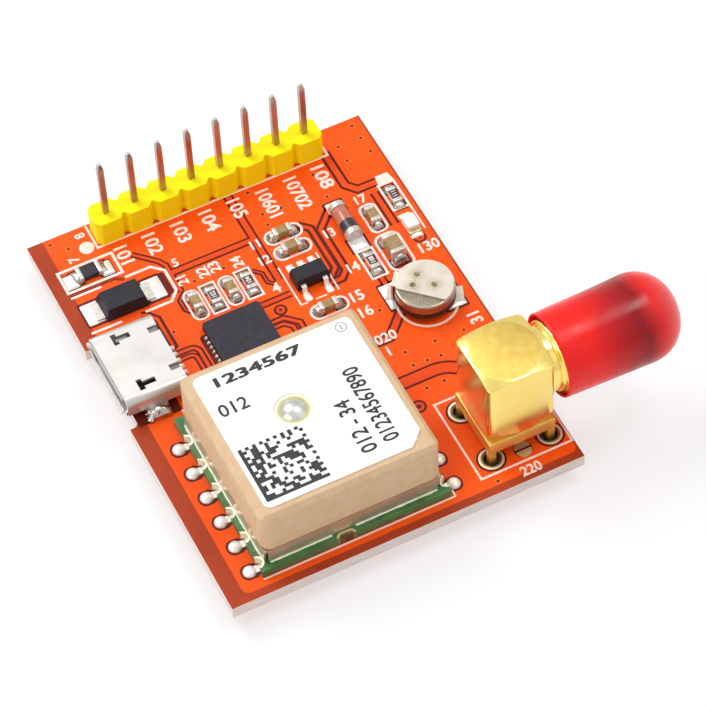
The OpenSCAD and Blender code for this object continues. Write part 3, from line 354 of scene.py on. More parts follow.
# Plain finishes: name, light, dark, scale of patches and of grain, roughness, depth of grain, sockets
plainLooks = {
    "gap": ("bareLaminate", (112, 26, 10), (92, 18, 6), 700, 5000, (0.4, 0.5), 3, dull),
    "trace": ("maskedTrace", (240, 80, 20), (228, 72, 14), 500, 5000, (0.34, 0.44), 3, dull),
    "silk": ("whiteInk", (255, 238, 230), (252, 222, 210), 1500, 9000, (0.55, 0.7), 4, {}),
    "ink": ("blackInk", (42, 40, 44), (27, 25, 29), 1200, 9000, (0.5, 0.65), 2, {}),
    # Dark finish: painted shade in the holes and under the coin cell
    "hole": ("paintedDarkShade", (70, 30, 18), (46, 18, 12), 2000, 6000, (0.6, 0.8), 3, {}),
    "solder": ("brightSolder", (254, 253, 250), (236, 233, 228), 1500, 2600, (0.24, 0.4), 6,
               {"Metallic": 0.3}),
    "dome": ("feedDome", (240, 238, 234), (198, 196, 190), 900, 1300, (0.22, 0.34), 10, {"Metallic": 1.0}),
    "toe": ("toeSolder", (214, 209, 202), (138, 131, 124), 1700, 2200, (0.18, 0.34), 20,
            {"Metallic": 0.85}),
    "lump": ("lumpSolder", (232, 228, 224), (128, 120, 116), 1100, 1500, (0.14, 0.28), 40,
             {"Metallic": 1.0}),
    # Plating in the holes and the slot, darkened as painted shade in these recesses
    "plated": ("platedHoleShade", (132, 120, 80), (84, 76, 50), 1800, 3600, (0.3, 0.45), 8, {"Metallic": 0.7}),
    "cream": ("creamPlating", (246, 240, 222), (226, 216, 190), 1800, 4200, (0.3, 0.45), 5,
              {"Metallic": 0.45}),
    "halo": ("holeHalo", (255, 110, 42), (252, 99, 30), 1200, 5000, (0.34, 0.44), 3, dull),
    "tin": ("tinnedEnd", (222, 219, 213), (198, 193, 184), 2200, 5200, (0.26, 0.42), 4, {"Metallic": 0.6}),
    "spring": ("shadedSpring", (134, 134, 132), (104, 104, 102), 1800, 4200, (0.4, 0.55), 4,
               {"Metallic": 0.5}),
    "weld": ("weldSpot", (142, 134, 102), (104, 98, 74), 2600, 5200, (0.35, 0.5), 6, {"Metallic": 0.6}),
    # Shield can: tinned sheet, tinted darker tan as a painted reflection of the tan ceramic above it
    "can": ("tinnedSheetReflectedTan", (210, 196, 168), (188, 174, 148), 600, 2600, (0.26, 0.4), 4, {"Metallic": 0.7}),
    "shell": ("nickelShell", (213, 211, 207), (204, 202, 196), 300, 3200, (0.3, 0.42), 3,
              {"Metallic": 0.7}),
    "yellow": ("yellowPlastic", (255, 246, 0), (255, 237, 0), 400, 2400, (0.4, 0.52), 5, dull),
    "green": ("greenMask", (74, 130, 72), (52, 102, 56), 900, 3600, (0.26, 0.38), 5, {}),
    "foam": ("darkAdhesive", (86, 80, 72), (58, 54, 50), 1400, 3800, (0.7, 0.85), 18, {}),
    "ceramic": ("tanCeramic", (216, 185, 148), (207, 173, 132), 1100, 7200, (0.5, 0.62), 7, {}),
    "paper": ("labelPaper", (252, 252, 251), (247, 247, 246), 800, 6200, (0.5, 0.62), 3, {}),
    "chipBlack": ("chipResin", (50, 46, 56), (40, 37, 46), 1600, 7600, (0.5, 0.64), 6,
                  {"Specular IOR Level": 0.3}),
    "diodeBlack": ("diodeResin", (36, 34, 41), (26, 24, 30), 1500, 6400, (0.42, 0.56), 7,
                   {"Specular IOR Level": 0.3}),
    "socketBlack": ("socketPlastic", (46, 44, 46), (34, 32, 34), 1400, 6000, (0.5, 0.65), 6, {}),
    "tan": ("capacitorTan", (172, 144, 92), (146, 118, 72), 2600, 7800, (0.42, 0.58), 6, {}),
    "alumina": ("resistorBase", (236, 232, 226), (216, 210, 204), 2600, 7800, (0.5, 0.65), 6, {}),
    "coat": ("resistorCoat", (50, 50, 55), (36, 36, 40), 2200, 5200, (0.25, 0.4), 5, {}),
    "padGold": ("padGold", (232, 216, 164), (208, 188, 130), 1700, 4200, (0.26, 0.42), 6,
                {"Metallic": 0.6}),
    "teflon": ("whiteInsulator", (246, 245, 241), (236, 234, 229), 900, 4200, (0.45, 0.6), 5,
               {"Subsurface Weight": 0.2, "Subsurface Radius": (0.0005, 0.0005, 0.0005)}),
    "lens": ("lampLens", (255, 254, 248), (250, 246, 234), 1200, 4200, (0.22, 0.36), 5,
             {"Subsurface Weight": 0.4, "Subsurface Radius": (0.0004, 0.0004, 0.0003)}),
    "glass": ("orangeGlass", (255, 176, 146), (244, 146, 114), 900, 2200, (0.05, 0.12), 3,
              {"Transmission Weight": 0.55, "IOR": 1.5}),
    "cellSteel": ("cellSteel", (180, 169, 152), (158, 148, 132), 700, 3000, (0.28, 0.42), 5,
                  {"Metallic": 1.0}),
}
brushed = {"can": (0.2, 0.2, 1), "cellSteel": (1, 1, 0.2)}
finishes = {key: plainFinish(*look, brushed.get(key, (1, 1, 1))) for key, look in plainLooks.items()}
finishes.update({
    "mask": maskFinish(), "pin": pinFinish(), "film": filmFinish(), "tab": tabFinish(),
    "gold": goldFinish(), "vinyl": vinylFinish(),
})
print("finishes ready:", len(finishes))

# Edges that turn by more than this stay hard in putDown, or get a rounding in softenEdges
hardFrom, bevelFrom = math.radians(38), math.radians(32)


# Mesh helpers work in millimetres; putDown turns a mesh into a piece in metres
def putDown(name, bm, looks, body="board", stands=()):
    bmesh.ops.recalc_face_normals(bm, faces=bm.faces)
    bmesh.ops.scale(bm, vec=(mm, mm, mm), verts=bm.verts)
    for face in bm.faces:
        face.smooth = True
    for edge in bm.edges:
        edge.smooth = edge.calc_face_angle(0) < hardFrom
    mesh = bpy.data.meshes.new(name)
    bm.to_mesh(mesh)
    bm.free()
    for look in looks:
        mesh.materials.append(finishes[look])
    thing = bpy.data.objects.new(name, mesh)
    bpy.context.scene.collection.objects.link(thing)
    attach(thing, body)
    if stands:
        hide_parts(*stands)
    return thing


def addFace(bm, corners, look=0):
    face = bm.faces.new(corners)
    face.material_index = look


def skin(bm, rings, look=0, closed=True):
    count = len(rings[0])
    for lower, upper in zip(rings, rings[1:]):
        for i in range(count if closed else count - 1):
            j = (i + 1) % count
            addFace(bm, (lower[i], lower[j], upper[j], upper[i]), look)


def arc(x, y, radius, start, stop, steps):
    turns = [math.radians(start + (stop - start) * i / steps) for i in range(steps + 1)]
    return [(x + radius * math.cos(t), y + radius * math.sin(t)) for t in turns]


def disc(x, y, radius, count=36):
    return arc(x, y, radius, 0, 360 - 360 / count, count - 1)


def roundRect(x, y, width, length, radius, steps=5):
    half, tall = width / 2 - radius, length / 2 - radius
    points = []
    for side, (sx, sy) in enumerate(((1, 1), (-1, 1), (-1, -1), (1, -1))):
        points += arc(x + sx * half, y + sy * tall, radius, 90 * side, 90 * side + 90, steps)
    return points


def plate(bm, outline, low, high, look=0):
    lower = [bm.verts.new((x, y, low)) for x, y in outline]
    upper = [bm.verts.new((x, y, high)) for x, y in outline]
    skin(bm, [lower, upper], look)
    addFace(bm, lower[::-1], look)
    addFace(bm, upper, look)


def ring(bm, x, y, outer, inner, low, high, steps=32, start=0, stop=360):
    whole = stop - start >= 360
    count = steps if whole else steps + 1
    rows = []
    for radius, level in ((inner, low), (outer, low), (outer, high), (inner, high)):
        edge = arc(x, y, radius, start, stop, steps)[:count]
        rows.append([bm.verts.new((*spot, level)) for spot in edge])
    skin(bm, rows + rows[:1], closed=whole)
    if not whole:
        addFace(bm, [row[0] for row in rows])
        addFace(bm, [row[-1] for row in rows][::-1])


# A flat strip along a line of points, with mitred corners
def strip(bm, points, width, low, high, closed=False):
    spots = [Vector(p) for p in points]
    count = len(spots)
    rows = []
    for i, spot in enumerate(spots):
        before = spots[i - 1] if i or closed else None
        after = spots[(i + 1) % count] if i < count - 1 or closed else None
        into = (spot - before).normalized() if before else (after - spot).normalized()
        out = (after - spot).normalized() if after else into
        lean = (into + out).normalized()
        across = Vector((-lean.y, lean.x)) * (width / 2 / max(0.5, lean.dot(into)))
        left, right = spot + across, spot - across
        corners = ((left, low), (right, low), (right, high), (left, high))
        rows.append([bm.verts.new((*edge, level)) for edge, level in corners])
    skin(bm, rows + rows[:1] if closed else rows)
    if not closed:
        addFace(bm, rows[0][::-1])
        addFace(bm, rows[-1])


def centreOf(outline):
    return Vector((sum(p[0] for p in outline), sum(p[1] for p in outline))) / len(outline)


# A soft mound over an outline; lean moves its peak, wobble makes it uneven, flat widens its top
def mound(bm, outline, low, height, look=0, lean=(0, 0), wobble=0.0, rows=5, flat=0.0):
    centre = centreOf(outline) + Vector(lean)
    rings = []
    for k in range(rows):
        t = math.pi / 2 * k / rows
        shrink = flat + (1 - flat) * math.cos(t)
        level = low + height * math.sin(t)
        loop = []
        for x, y in outline:
            push = 1 + (dice.uniform(-wobble, wobble) if k else 0)
            spot = centre + (Vector((x, y)) - centre) * shrink * push
            loop.append(bm.verts.new((spot.x, spot.y, level)))
        rings.append(loop)
    skin(bm, rings, look)
    addFace(bm, rings[0][::-1], look)
    peak = bm.verts.new((centre.x, centre.y, low + height))
    for i in range(len(outline)):
        addFace(bm, (rings[-1][i], rings[-1][(i + 1) % len(outline)], peak), look)


def softBox(bm, centre, size, radius, look=0, steps=3):
    place = Matrix.Translation(centre) @ Matrix.Diagonal((*size, 1))
    made = bmesh.ops.create_cube(bm, size=1, matrix=place)
    edges = list({edge for vert in made["verts"] for edge in vert.link_edges})
    for face in {face for vert in made["verts"] for face in vert.link_faces}:
        face.material_index = look
    bmesh.ops.bevel(bm, geom=edges, offset=radius, segments=steps, profile=0.5, affect="EDGES",
                    clamp_overlap=True, material=-1)


# Rings of points turned about the X axis: each entry is a place along X and a radius for each turn
def turned(bm, profile, axisY, axisZ, steps, loop=True):
    rows = []
    for x, radiusAt in profile:
        row = []
        for i in range(steps):
            turn = 2 * math.pi * i / steps
            radius = radiusAt(turn) if callable(radiusAt) else radiusAt
            y, z = axisY + radius * math.cos(turn), axisZ + radius * math.sin(turn)
            row.append(bm.verts.new((x, y, z)))
        rows.append(row)
    skin(bm, rows + rows[:1] if loop else rows)
    return rows


# Height of a digit as a share of the font's size
digitShare = 0.69


# Numbers in the built-in font. Its 4 fills up when made bold, so such texts are four shifted copies
def digits(bm, text, x, y, low, high, height, turn, squeeze, bold, look=0):
    letters = bpy.data.curves.new("digits", "FONT")
    letters.body = text
    letters.size = height / digitShare
    shift = bold * height if "4" in text else 0
    letters.offset = bold * height - shift
    letters.extrude = (high - low) / 2
    letters.resolution_u = 3
    holder = bpy.data.objects.new("digits", letters)
    bpy.context.scene.collection.objects.link(holder)
    solved = holder.evaluated_get(bpy.context.evaluated_depsgraph_get())
    mesh = bpy.data.meshes.new_from_object(solved)
    spots = [v.co for v in mesh.vertices]
    middle = [(min(c[k] for c in spots) + max(c[k] for c in spots)) / 2 for k in range(3)]
    place = Matrix.Translation((x, y, (low + high) / 2)) @ Matrix.Rotation(math.radians(turn), 4, "Z")
    place = place @ Matrix.Diagonal((squeeze, 1, 1, 1)) @ Matrix.Translation([-c for c in middle])
    for face in mesh.polygons:
        face.material_index = look
    corners = [(-shift, -shift), (shift, -shift), (-shift, shift), (shift, shift)] if shift else [(0, 0)]
    for k, (dx, dy) in enumerate(corners):
        twin = mesh.copy()
        twin.transform(place @ Matrix.Translation((dx, dy, tinyStep * k)))
        bm.from_mesh(twin)
        bpy.data.meshes.remove(twin)
    bpy.data.objects.remove(holder)
    bpy.data.meshes.remove(mesh)
    bpy.data.curves.remove(letters)


def softenEdges(thing, rounding):
    bevel = thing.modifiers.new("softEdges", "BEVEL")
    bevel.width = rounding * mm
    bevel.segments = 3
    bevel.limit_method = "ANGLE"
    bevel.angle_limit = bevelFrom
    bevel.harden_normals = True


# Solids from the frame that keep their shape get an edge rounding and a finish
dressing = {
    "pcb": ("mask", 0.02), "header_solder": ("solder", 0.05),
    "module_board": ("green", 0.04), "shield_can": ("can", 0.08), "patch_tape": ("foam", 0.03),
    "patch_ceramic": ("ceramic", 0.14), "patch_electrode": ("film", 0.01), "patch_label": ("paper", 0.03),
    "feed_pin": ("dome", 0.05), "receiver_chip": ("chipBlack", 0.05), "crystal": ("padGold", 0.08),
    "antenna_filter": ("alumina", 0.05), "antenna_amplifier": ("chipBlack", 0.04),
    "usb_shell": ("shell", 0.06), "usb_insulator": ("socketBlack", 0.04), "usb_contacts": ("padGold", 0.03),
    "diode_body": ("diodeBlack", 0.07), "diode_tabs": ("tin", 0.05), "bridge_chip": ("chipBlack", 0.05),
    "bridge_pads": ("solder", 0.03), "regulator_body": ("diodeBlack", 0.05),
    "regulator_leads": ("solder", 0.04),
    "glass_tube": ("glass", 0.05), "glass_ends": ("tin", 0.1), "glass_die": ("coat", 0.02),
    "coin_cell": ("cellSteel", 0.04), "cell_top_tab": ("tab", 0.04), "cell_bottom_tab": ("tab", 0.04),
    "jack_insulator": ("teflon", 0.05), "jack_contact": ("gold", 0.04), "jack_solder": ("solder", 0.05),
}
dressing.update({f"header_pin_{i}": ("pin", 0.04) for i in range(1, 9)})
seamGap = 0.002
for node, (look, rounding) in dressing.items():
    solid = cadNodes[node]
    solid.material_slots[0].material = finishes[look]
    weld = solid.modifiers.new("closeSeams", "WELD")
    weld.merge_threshold = seamGap * mm
    softenEdges(solid, rounding)
print("solids dressed:", len(dressing))

# Header strip: eight blocks in one moulding, with a notch at each side between neighbours
headerLow, headerHigh = boxOf("header_strip")
stripLook = {"blocks": 8, "deep": 0.46, "open": 0.46, "floor": 0.08, "end": 0.4, "rounding": 0.07}
stripMesh = bmesh.new()


def stripSide(level, inward):
    pitch = (headerHigh.x - headerLow.x) / stripLook["blocks"]
    end, deep = stripLook["end"], level + inward * stripLook["deep"]
    side = [(headerLow.x, level + inward * end), (headerLow.x + end, level)]
    for k in range(1, stripLook["blocks"]):
        x = headerLow.x + k * pitch
        side += [(x - stripLook["open"], level), (x - stripLook["floor"], deep),
                 (x + stripLook["floor"], deep), (x + stripLook["open"], level)]
    return side + [(headerHigh.x - end, level), (headerHigh.x, level + inward * end)]


stripOutline = stripSide(headerLow.y, 1) + stripSide(headerHigh.y, -1)[::-1]
plate(stripMesh, stripOutline, headerLow.z, headerHigh.z)
yellowStrip = putDown("yellow_strip", stripMesh, ["yellow"], stands=("header_strip",))
softenEdges(yellowStrip, stripLook["rounding"])

# Heights of the printed layers above the mask; shapes of one layer cross, so they take turns at small steps
layers = {"gap": 0.004, "trace": 0.012, "pad": 0.022, "silk": 0.028}
stepsTaken = dict.fromkeys(layers, 0)
stepsInTurn = 8


def above(layer):
    stepsTaken[layer] += 1
    return boardTop + layers[layer] + tinyStep * (stepsTaken[layer] % stepsInTurn)


gapMesh, traceMesh, silkMesh, padMesh, holeShadeMesh = (bmesh.new() for k in range(5))
goldMesh, haloMesh, platedShadeMesh, creamMesh = (bmesh.new() for k in range(4))


def bareGap(outline):
    plate(gapMesh, outline, boardTop, above("gap"))


# Masked tracks: points in mm, width of the copper, width of the bare gap at each side
tracks = {
    "usbUp": ([(-9.0, 4.75), (-8.62, 4.95), (-8.62, 8.0), (-9.2, 8.75), (-9.6, 8.9)], 0.26, 0.19),
    "usbOuter": ([(-9.0, 4.1), (-7.6, 4.1)] + arc(-7.6, 3.45, 0.65, 90, 0, 6)[1:] + [(-6.95, -1.6)],
                 0.26, 0.15),
    "usbInner": ([(-9.0, 3.45), (-7.9, 3.45)] + arc(-7.9, 2.95, 0.5, 90, 0, 6)[1:] + [(-7.4, -1.6)],
                 0.22, 0.13),
    "fuseToDiode": ([(-7.75, 14.9), (-6.1, 13.25), (-5.76, 12.6), (-5.76, 9.6)], 0.24, 0.14),
    "longBand": ([(-5.9, 11.7), (1.5, 11.7)], 0.42, 0.15),
    "supplyRail": ([(1.68, 17.1), (1.68, 8.9), (1.68, 7.0)], 0.46, 0.15),
    "regulatorSide": ([(5.4, 11.35), (6.2, 10.55), (6.2, 6.0), (5.5, 5.3)], 0.3, 0.2),
    "diodeFeed": ([(8.5, 11.7), (6.85, 10.05), (6.85, 5.4), (6.2, 4.75), (5.2, 4.75)], 0.36, 0.19),
    "cornerRail": ([(10.68, 17.2), (10.68, 13.3), (11.4, 12.42), (13.4, 12.4)], 0.5, 0.17),
    "lampRail": ([(12.45, 11.5), (12.45, 7.7)], 0.42, 0.16),
    "bridgeUp": ([(-0.9, 5.3), (1.9, 5.3)], 0.34, 0.14),
    "bridgeRight": ([(-0.9, 3.35), (0.3, 3.35), (1.3, 2.4), (1.3, -2.2)], 0.26, 0.16),
    "bridgeLow": ([(-0.9, 2.85), (0.05, 2.85), (0.65, 2.25), (0.65, -2.2)], 0.22, 0.14),
    "rowSide": ([(-5.5, 9.5), (-6.25, 8.8), (-6.25, 7.8), (-5.9, 7.3)], 0.1, 0.16),
    "regulatorIn": ([(0.1, 8.9), (0.75, 8.2), (0.75, 7.2), (1.2, 6.8)], 0.1, 0.14),
    "cellDown": ([(8.8, -0.45), (7.2, -2.05), (6.9, -2.36), (3.6, -2.36)], 0.52, 0.16),
    "cellUp": ([(9.0, 3.9), (9.0, 2.2)], 0.34, 0.15),
    "antennaLine": ([(3.8, -6.8), (8.4, -6.8)] + arc(8.4, -9.6, 2.8, 90, 20, 8)[1:] + [(11.05, -12)],
                    0.92, 0.16),
    "underFuse": ([(-13.9, 13.34), (-10.0, 13.34), (-9.3, 12.9)], 0.06, 0.1),
}
gapSpread = 1.3
for points, copper, gap in tracks.values():
    strip(gapMesh, points, copper + 2 * gapSpread * gap, boardTop, above("gap"))
    strip(traceMesh, points, copper, boardTop, above("trace"))

# Plated through holes: a shallow ring of mask and a dark disc of painted shade for the hole, three of them
# larger with a bare gap around
vias = [(-13.2, 18.9), (-12.05, 17.85), (12.0, 17.2), (14.05, 17.2), (12.0, 15.55), (14.15, 15.55),
        (14.0, 18.7), (3.4, 13.7), (8.85, 12.9), (8.85, 15.5), (3.3, 16.3), (3.3, 12.5), (7.3, -5.65),
        (8.5, -5.7), (9.65, -5.8), (9.9, -4.3), (7.2, -8.1), (8.75, -8.1), (12.4, -4.4), (7.3, -4.2),
        (5.4, -3.9), (5.4, -4.6), (7.4, 0.45), (-4.4, 10.05), (-1.75, 10.15), (-8.0, 6.2), (5.0, 13.6),
        (8.0, -18.5)]
viaLook = {"hole": 0.13, "ring": 0.27, "clear": 0.2}
largeVias = [(0.45, 4.2, 0.15, 0.36), (13.6, 5.6, 0.13, 0.38), (5.85, -9.4, 0.2, 0.44)]
for x, y in vias:
    ring(haloMesh, x, y, viaLook["ring"], viaLook["hole"], boardTop, above("trace"), steps=20)
    plate(holeShadeMesh, disc(x, y, viaLook["hole"], 20), boardTop, above("gap"))
for x, y, hole, rim in largeVias:
    bareGap(disc(x, y, rim + viaLook["clear"]))
    ring(traceMesh, x, y, rim, hole, boardTop, above("trace"), steps=28)
    plate(holeShadeMesh, disc(x, y, hole, 20), boardTop, above("trace"))

landLook = {"solder": 0.94, "wobble": 0.012}


# A tinned land: bare gap around it, the land itself and a skin of solder
def land(outline, clear, height, lean):
    centre = centreOf(outline)
    reach = max((Vector(p) - centre).length for p in outline)
    bareGap([tuple(centre + (Vector(p) - centre) * (1 + clear / reach)) for p in outline])
    padTop = above("pad")
    plate(padMesh, outline, boardTop, padTop)
    inside = [tuple(centre + (Vector(p) - centre) * landLook["solder"]) for p in outline]
    mound(padMesh, inside, padTop, height, 0, lean, landLook["wobble"])


diode = middleOf("diode_body")
fuse = middleOf("chip_fuse")
glass = middleOf("glass_tube")
cell = middleOf("coin_cell")
# Each land: its rounded rectangle, the clear gap, the height of its solder and where the peak leans
lands = [
    ((-12.92, diode.y + 0.15, 1.52, 2.2, 0.12), 0.3, 0.13, (0.3, 0)),
    ((-7.6, diode.y + 0.15, 1.52, 2.2, 0.12), 0.3, 0.13, (-0.3, 0)),
    ((-13.22, fuse.y - 0.15, 1.0, 1.45, 0.12), 0.15, 0.2, (0.15, 0)),
    ((-10.12, fuse.y - 0.15, 1.0, 1.45, 0.12), 0.15, 0.2, (-0.15, 0)),
    ((glass.x + 0.12, 7.25, 1.4, 1.35, 0.12), 0.25, 0.24, (0, 0.2)),
    ((glass.x + 0.12, 11.55, 1.4, 1.2, 0.12), 0.25, 0.24, (0, -0.2)),
    ((8.92, 1.28, 1.34, 2.5, 0.1), 0.25, 0.1, (0.2, 0)),
    ((13.05, -1.02, 1.7, 2.24, 0.1), 0.25, 0.12, (-0.2, 0)),
]
# Dark bare patches: bare clearance, darkened further as painted shadow beside the USB socket and the
# rectifier diode
clearanceShadeGaps = [(-12.4, -0.25, 3.7, 1.6, 0.2), (-6.1, 2.6, 0.75, 4.4, 0.3), (-6.6, diode.y + 0.2, 0.7, 2.4, 0.2)]
for shape, clear, height, lean in lands:
    land(roundRect(*shape), clear, height, lean)
for shape in clearanceShadeGaps:
    bareGap(roundRect(*shape))
print("tracks, holes and lands laid")

# White print: frames around the parts and lines on the board
silkWide = 0.2


def inkLine(points, wide=silkWide, closed=False):
    strip(silkMesh, points, wide, boardTop, above("silk"), closed=closed)


def inkPatch(outline):
    plate(silkMesh, outline, boardTop, above("silk"))


def inkFrame(x, y, width, length, corner, wide):
    half, tall = width / 2, length / 2
    square = [(x - half, y - tall), (x + half, y - tall), (x + half, y + tall), (x - half, y + tall)]
    inkLine(roundRect(x, y, width, length, corner) if corner else square, wide, True)


# Each frame: shift from the part's middle, width and length, corner, width of the line
roundFrame, squareFrame = (0, 0, 1.26, 3.05, 0.55, 0.18), (0, 0, 1.26, 3.05, 0, 0.18)
lyingFrame = (0.1, 0, 3.15, 1.35, 0.62, silkWide)
partFrames = {
    "row_capacitor_1": roundFrame, "row_resistor_1": squareFrame,
    "row_capacitor_2": roundFrame, "row_resistor_2": squareFrame,
    "supply_capacitor_1": lyingFrame, "supply_capacitor_2": lyingFrame, "supply_capacitor_3": lyingFrame,
    "cell_resistor": (0, 0, 1.35, 3.0, 0, silkWide), "filter_capacitor": (0.08, 0, 1.4, 3.0, 0.5, silkWide),
    "large_capacitor": (0.08, 0, 2.05, 3.9, 0.7, 0.22), "lamp_resistor": (0.05, 0.2, 1.4, 2.9, 0, silkWide),
}
for node, (dx, dy, width, length, corner, wide) in partFrames.items():
    spot = middleOf(node)
    inkFrame(spot.x + dx, spot.y + dy, width, length, corner, wide)
inkPatch([(13.05, 11.9), (14.5, 11.9), (14.3, 12.9), (13.2, 12.9)])
regulator = middleOf("regulator_body")
regulatorLines = [((-1.78, -2.1), (-1.78, 2.15)), ((1.58, -2.1), (1.58, 2.15)),
                  ((-1.8, -2.1), (-1.2, -2.1)), ((-0.45, -2.1), (0.5, -2.1))]
for ends in regulatorLines:
    inkLine([(regulator.x + x, regulator.y + y) for x, y in ends], 0.14)
inkFrame(-11.5, fuse.y, 4.75, 2.25, 0, 0.24)
inkLine([(-13.9, 13.05), (-11.25, 13.05)], 0.22)
inkLine([(-13.85, 9.08), (-11.2, 9.08)], 0.22)
inkLine([(-9.15, 13.05), (-6.95, 13.05), (-6.05, 12.2), (-6.05, 9.95), (-6.85, 9.08), (-9.15, 9.08)], 0.24)
headerLeft, headerRight, headerFront = headerLow.x - 0.2, headerHigh.x + 0.2, headerLow.y + 0.02
inkLine([(headerLeft, 19.35), (headerLeft, headerFront), (headerRight, headerFront), (headerRight, 19.35)])
inkPatch(disc(-10.68, 17.25, 0.62))
inkLine(arc(11.15, -0.55, 2.46, 148, 325, 40))
inkLine([(14.42, 9.0), (14.42, 6.2)], 0.16)
inkLine([(-11.75, -18.22), (4.5, -18.22)], 0.14)
inkLine([(4.5, -18.22), (4.5, -17.6)], 0.14)
inkLine([(6.95, -9.86), (14.85, -9.86), (14.85, -17.78), (6.95, -17.78)], 0.18, True)

# Plain numbers beside the pins and parts
pinNumbers = ["101", "102", "103", "104", "105", "10601", "10702", "108"]
pinEnds = [13.7, 13.6, 13.6, 13.6, 13.8, 12.35, 12.05, 13.2]
numberTop = 16.65
digitWide = 0.98
for i, (text, stop) in enumerate(zip(pinNumbers, pinEnds)):
    pin = middleOf(f"header_pin_{i + 1}")
    squeeze = (numberTop - stop) / (len(text) * digitWide)
    digits(silkMesh, text, pin.x + 0.1, (numberTop + stop) / 2, boardTop, above("silk"), 1.12, -90,
           squeeze, 0.035)
partNumbers = [
    ("11", 1.5, 11.15, 0.85, 0), ("12", 1.52, 9.35, 0.85, 0), ("13", 7.35, 9.4, 0.85, 0),
    ("14", 7.5, 5.35, 0.9, 0), ("15", 6.45, 2.6, 1.0, 0), ("16", 6.4, 0.9, 1.0, 0), ("4", 1.1, 6.35, 0.95, 0),
    ("21", -5.25, 10.55, 0.85, 90), ("22", -3.45, 10.55, 0.85, 90), ("23", -2.4, 10.6, 0.85, 90),
    ("24", -0.55, 10.2, 0.85, 90), ("17", 11.15, 11.35, 0.85, 0), ("130", 13.9, 4.5, 0.95, 0),
    ("020", 6.6, -2.15, 0.9, 0), ("1", 6.2, -3.5, 0.9, 0), ("31", 13.75, -3.75, 1.0, 90),
    ("220", 10.8, -18.62, 0.85, 0), ("5", -5.0, 12.5, 0.8, 0), ("7", -12.1, 16.6, 0.8, 90),
    ("8", -10.7, 18.65, 0.8, 90),
]
for text, x, y, tall, turn in partNumbers:
    digits(silkMesh, text, x, y, boardTop, above("silk"), tall, turn, 0.95, 0.04)
print("print laid with", len(pinNumbers) + len(partNumbers), "plain numbers")

# Chips: metal ends wrapped around a block, solder climbing both ends
chipLook = {"end": 0.35, "inset": 0.03, "round": 0.05, "toe": 0.5, "under": 0.2, "padMore": 0.12,
            "climb": 0.62, "lean": 0.42, "wobble": 0.05, "clear": 0.17,
            "block": {"capacitor": "tan", "resistor": "alumina", "fuse": "chipBlack"}}


def chip(node, kind, number):
    low, high = boxOf(node)
    size = high - low
    lying = size.x > size.y
    long, wide, tall = (size.x, size.y, size.z) if lying else (size.y, size.x, size.z)
    bm = bmesh.new()
    turn = Matrix.Identity(4) if lying else Matrix.Rotation(math.pi / 2, 4, "Z")
    centre = (low + high) / 2
    move = Matrix.Translation((centre.x, centre.y, boardTop)) @ turn
    end, inset, toe, clear = (chipLook[key] for key in ("end", "inset", "toe", "clear"))
    film = tall - inset
    softBox(bm, (0, 0, tall / 2), (long - 2 * end + 0.06, wide - 2 * inset, tall - 2 * inset), 0.025, 1)
    for side in (-1, 1):
        softBox(bm, (side * (long - end) / 2, 0, tall / 2), (end, wide, tall), chipLook["round"], 0, 4)
        padX, padLong = side * (long + toe - chipLook["under"]) / 2, toe + chipLook["under"]
        padWide = wide + chipLook["padMore"]
        pad = roundRect(padX, 0, padLong, padWide, 0.1, 4)
        plate(bm, pad, 0, layers["pad"], 4)
        around = roundRect(padX, 0, padLong + 2 * clear, padWide + 2 * clear, 0.15, 4)
        bareGap([(move @ Vector((x, y, 0))).xy for x, y in around])
        mound(bm, [(x * 0.995, y * 0.95) for x, y in pad], layers["pad"], tall * chipLook["climb"], 4,
              (-side * toe * chipLook["lean"], 0), chipLook["wobble"], 6)
    if kind == "resistor":
        softBox(bm, (0, 0, film + 0.012), (long - 2 * end - 0.04, wide - 0.1, 0.05), 0.015, 2)
        digits(bm, number, 0, 0, film + 0.036, film + 0.042, wide * 0.5, 0, 0.85, 0.03, 3)
    bmesh.ops.transform(bm, matrix=move, verts=bm.verts)
    looks = ["tin", chipLook["block"][kind], "coat", "silk", "toe"]
    putDown("dressed_" + node, bm, looks, stands=(node,))


chipKinds = {
    "row_capacitor_1": "capacitor", "row_resistor_1": "resistor", "row_capacitor_2": "capacitor",
    "row_resistor_2": "resistor", "supply_capacitor_1": "capacitor", "supply_capacitor_2": "capacitor",
    "supply_capacitor_3": "capacitor", "cell_resistor": "resistor", "filter_capacitor": "capacitor",
    "large_capacitor": "capacitor", "lamp_resistor": "resistor", "chip_fuse": "fuse",
}
for count, (node, kind) in enumerate(chipKinds.items()):
    chip(node, kind, str(101 + count))
print("chips built:", len(chipKinds))

# Receiver module: joints beside each half hole, plating in the half holes
moduleLow, moduleHigh = boxOf("module_board")
moduleMid = (moduleLow + moduleHigh) / 2
canLow, canHigh = boxOf("shield_can")
castell = {"count": 6, "first": 0.94, "pitch": 2.54, "radius": 0.45, "plate": 0.05, "rim": 0.12, "tall": 0.34,
           "padWide": 1.1, "padLong": 1.22, "rootIn": 0.36, "root": 0.26, "neck": 0.72, "neckTall": 0.07,
           "clear": 0.16, "widen": 1.3}
jointMesh = bmesh.new()
padHalf, neck, root = castell["padWide"] / 2, castell["neck"] / 2, castell["root"]
padOut = castell["padLong"] - padHalf
rimR, boreR = castell["radius"] + castell["rim"], castell["radius"] - castell["plate"]

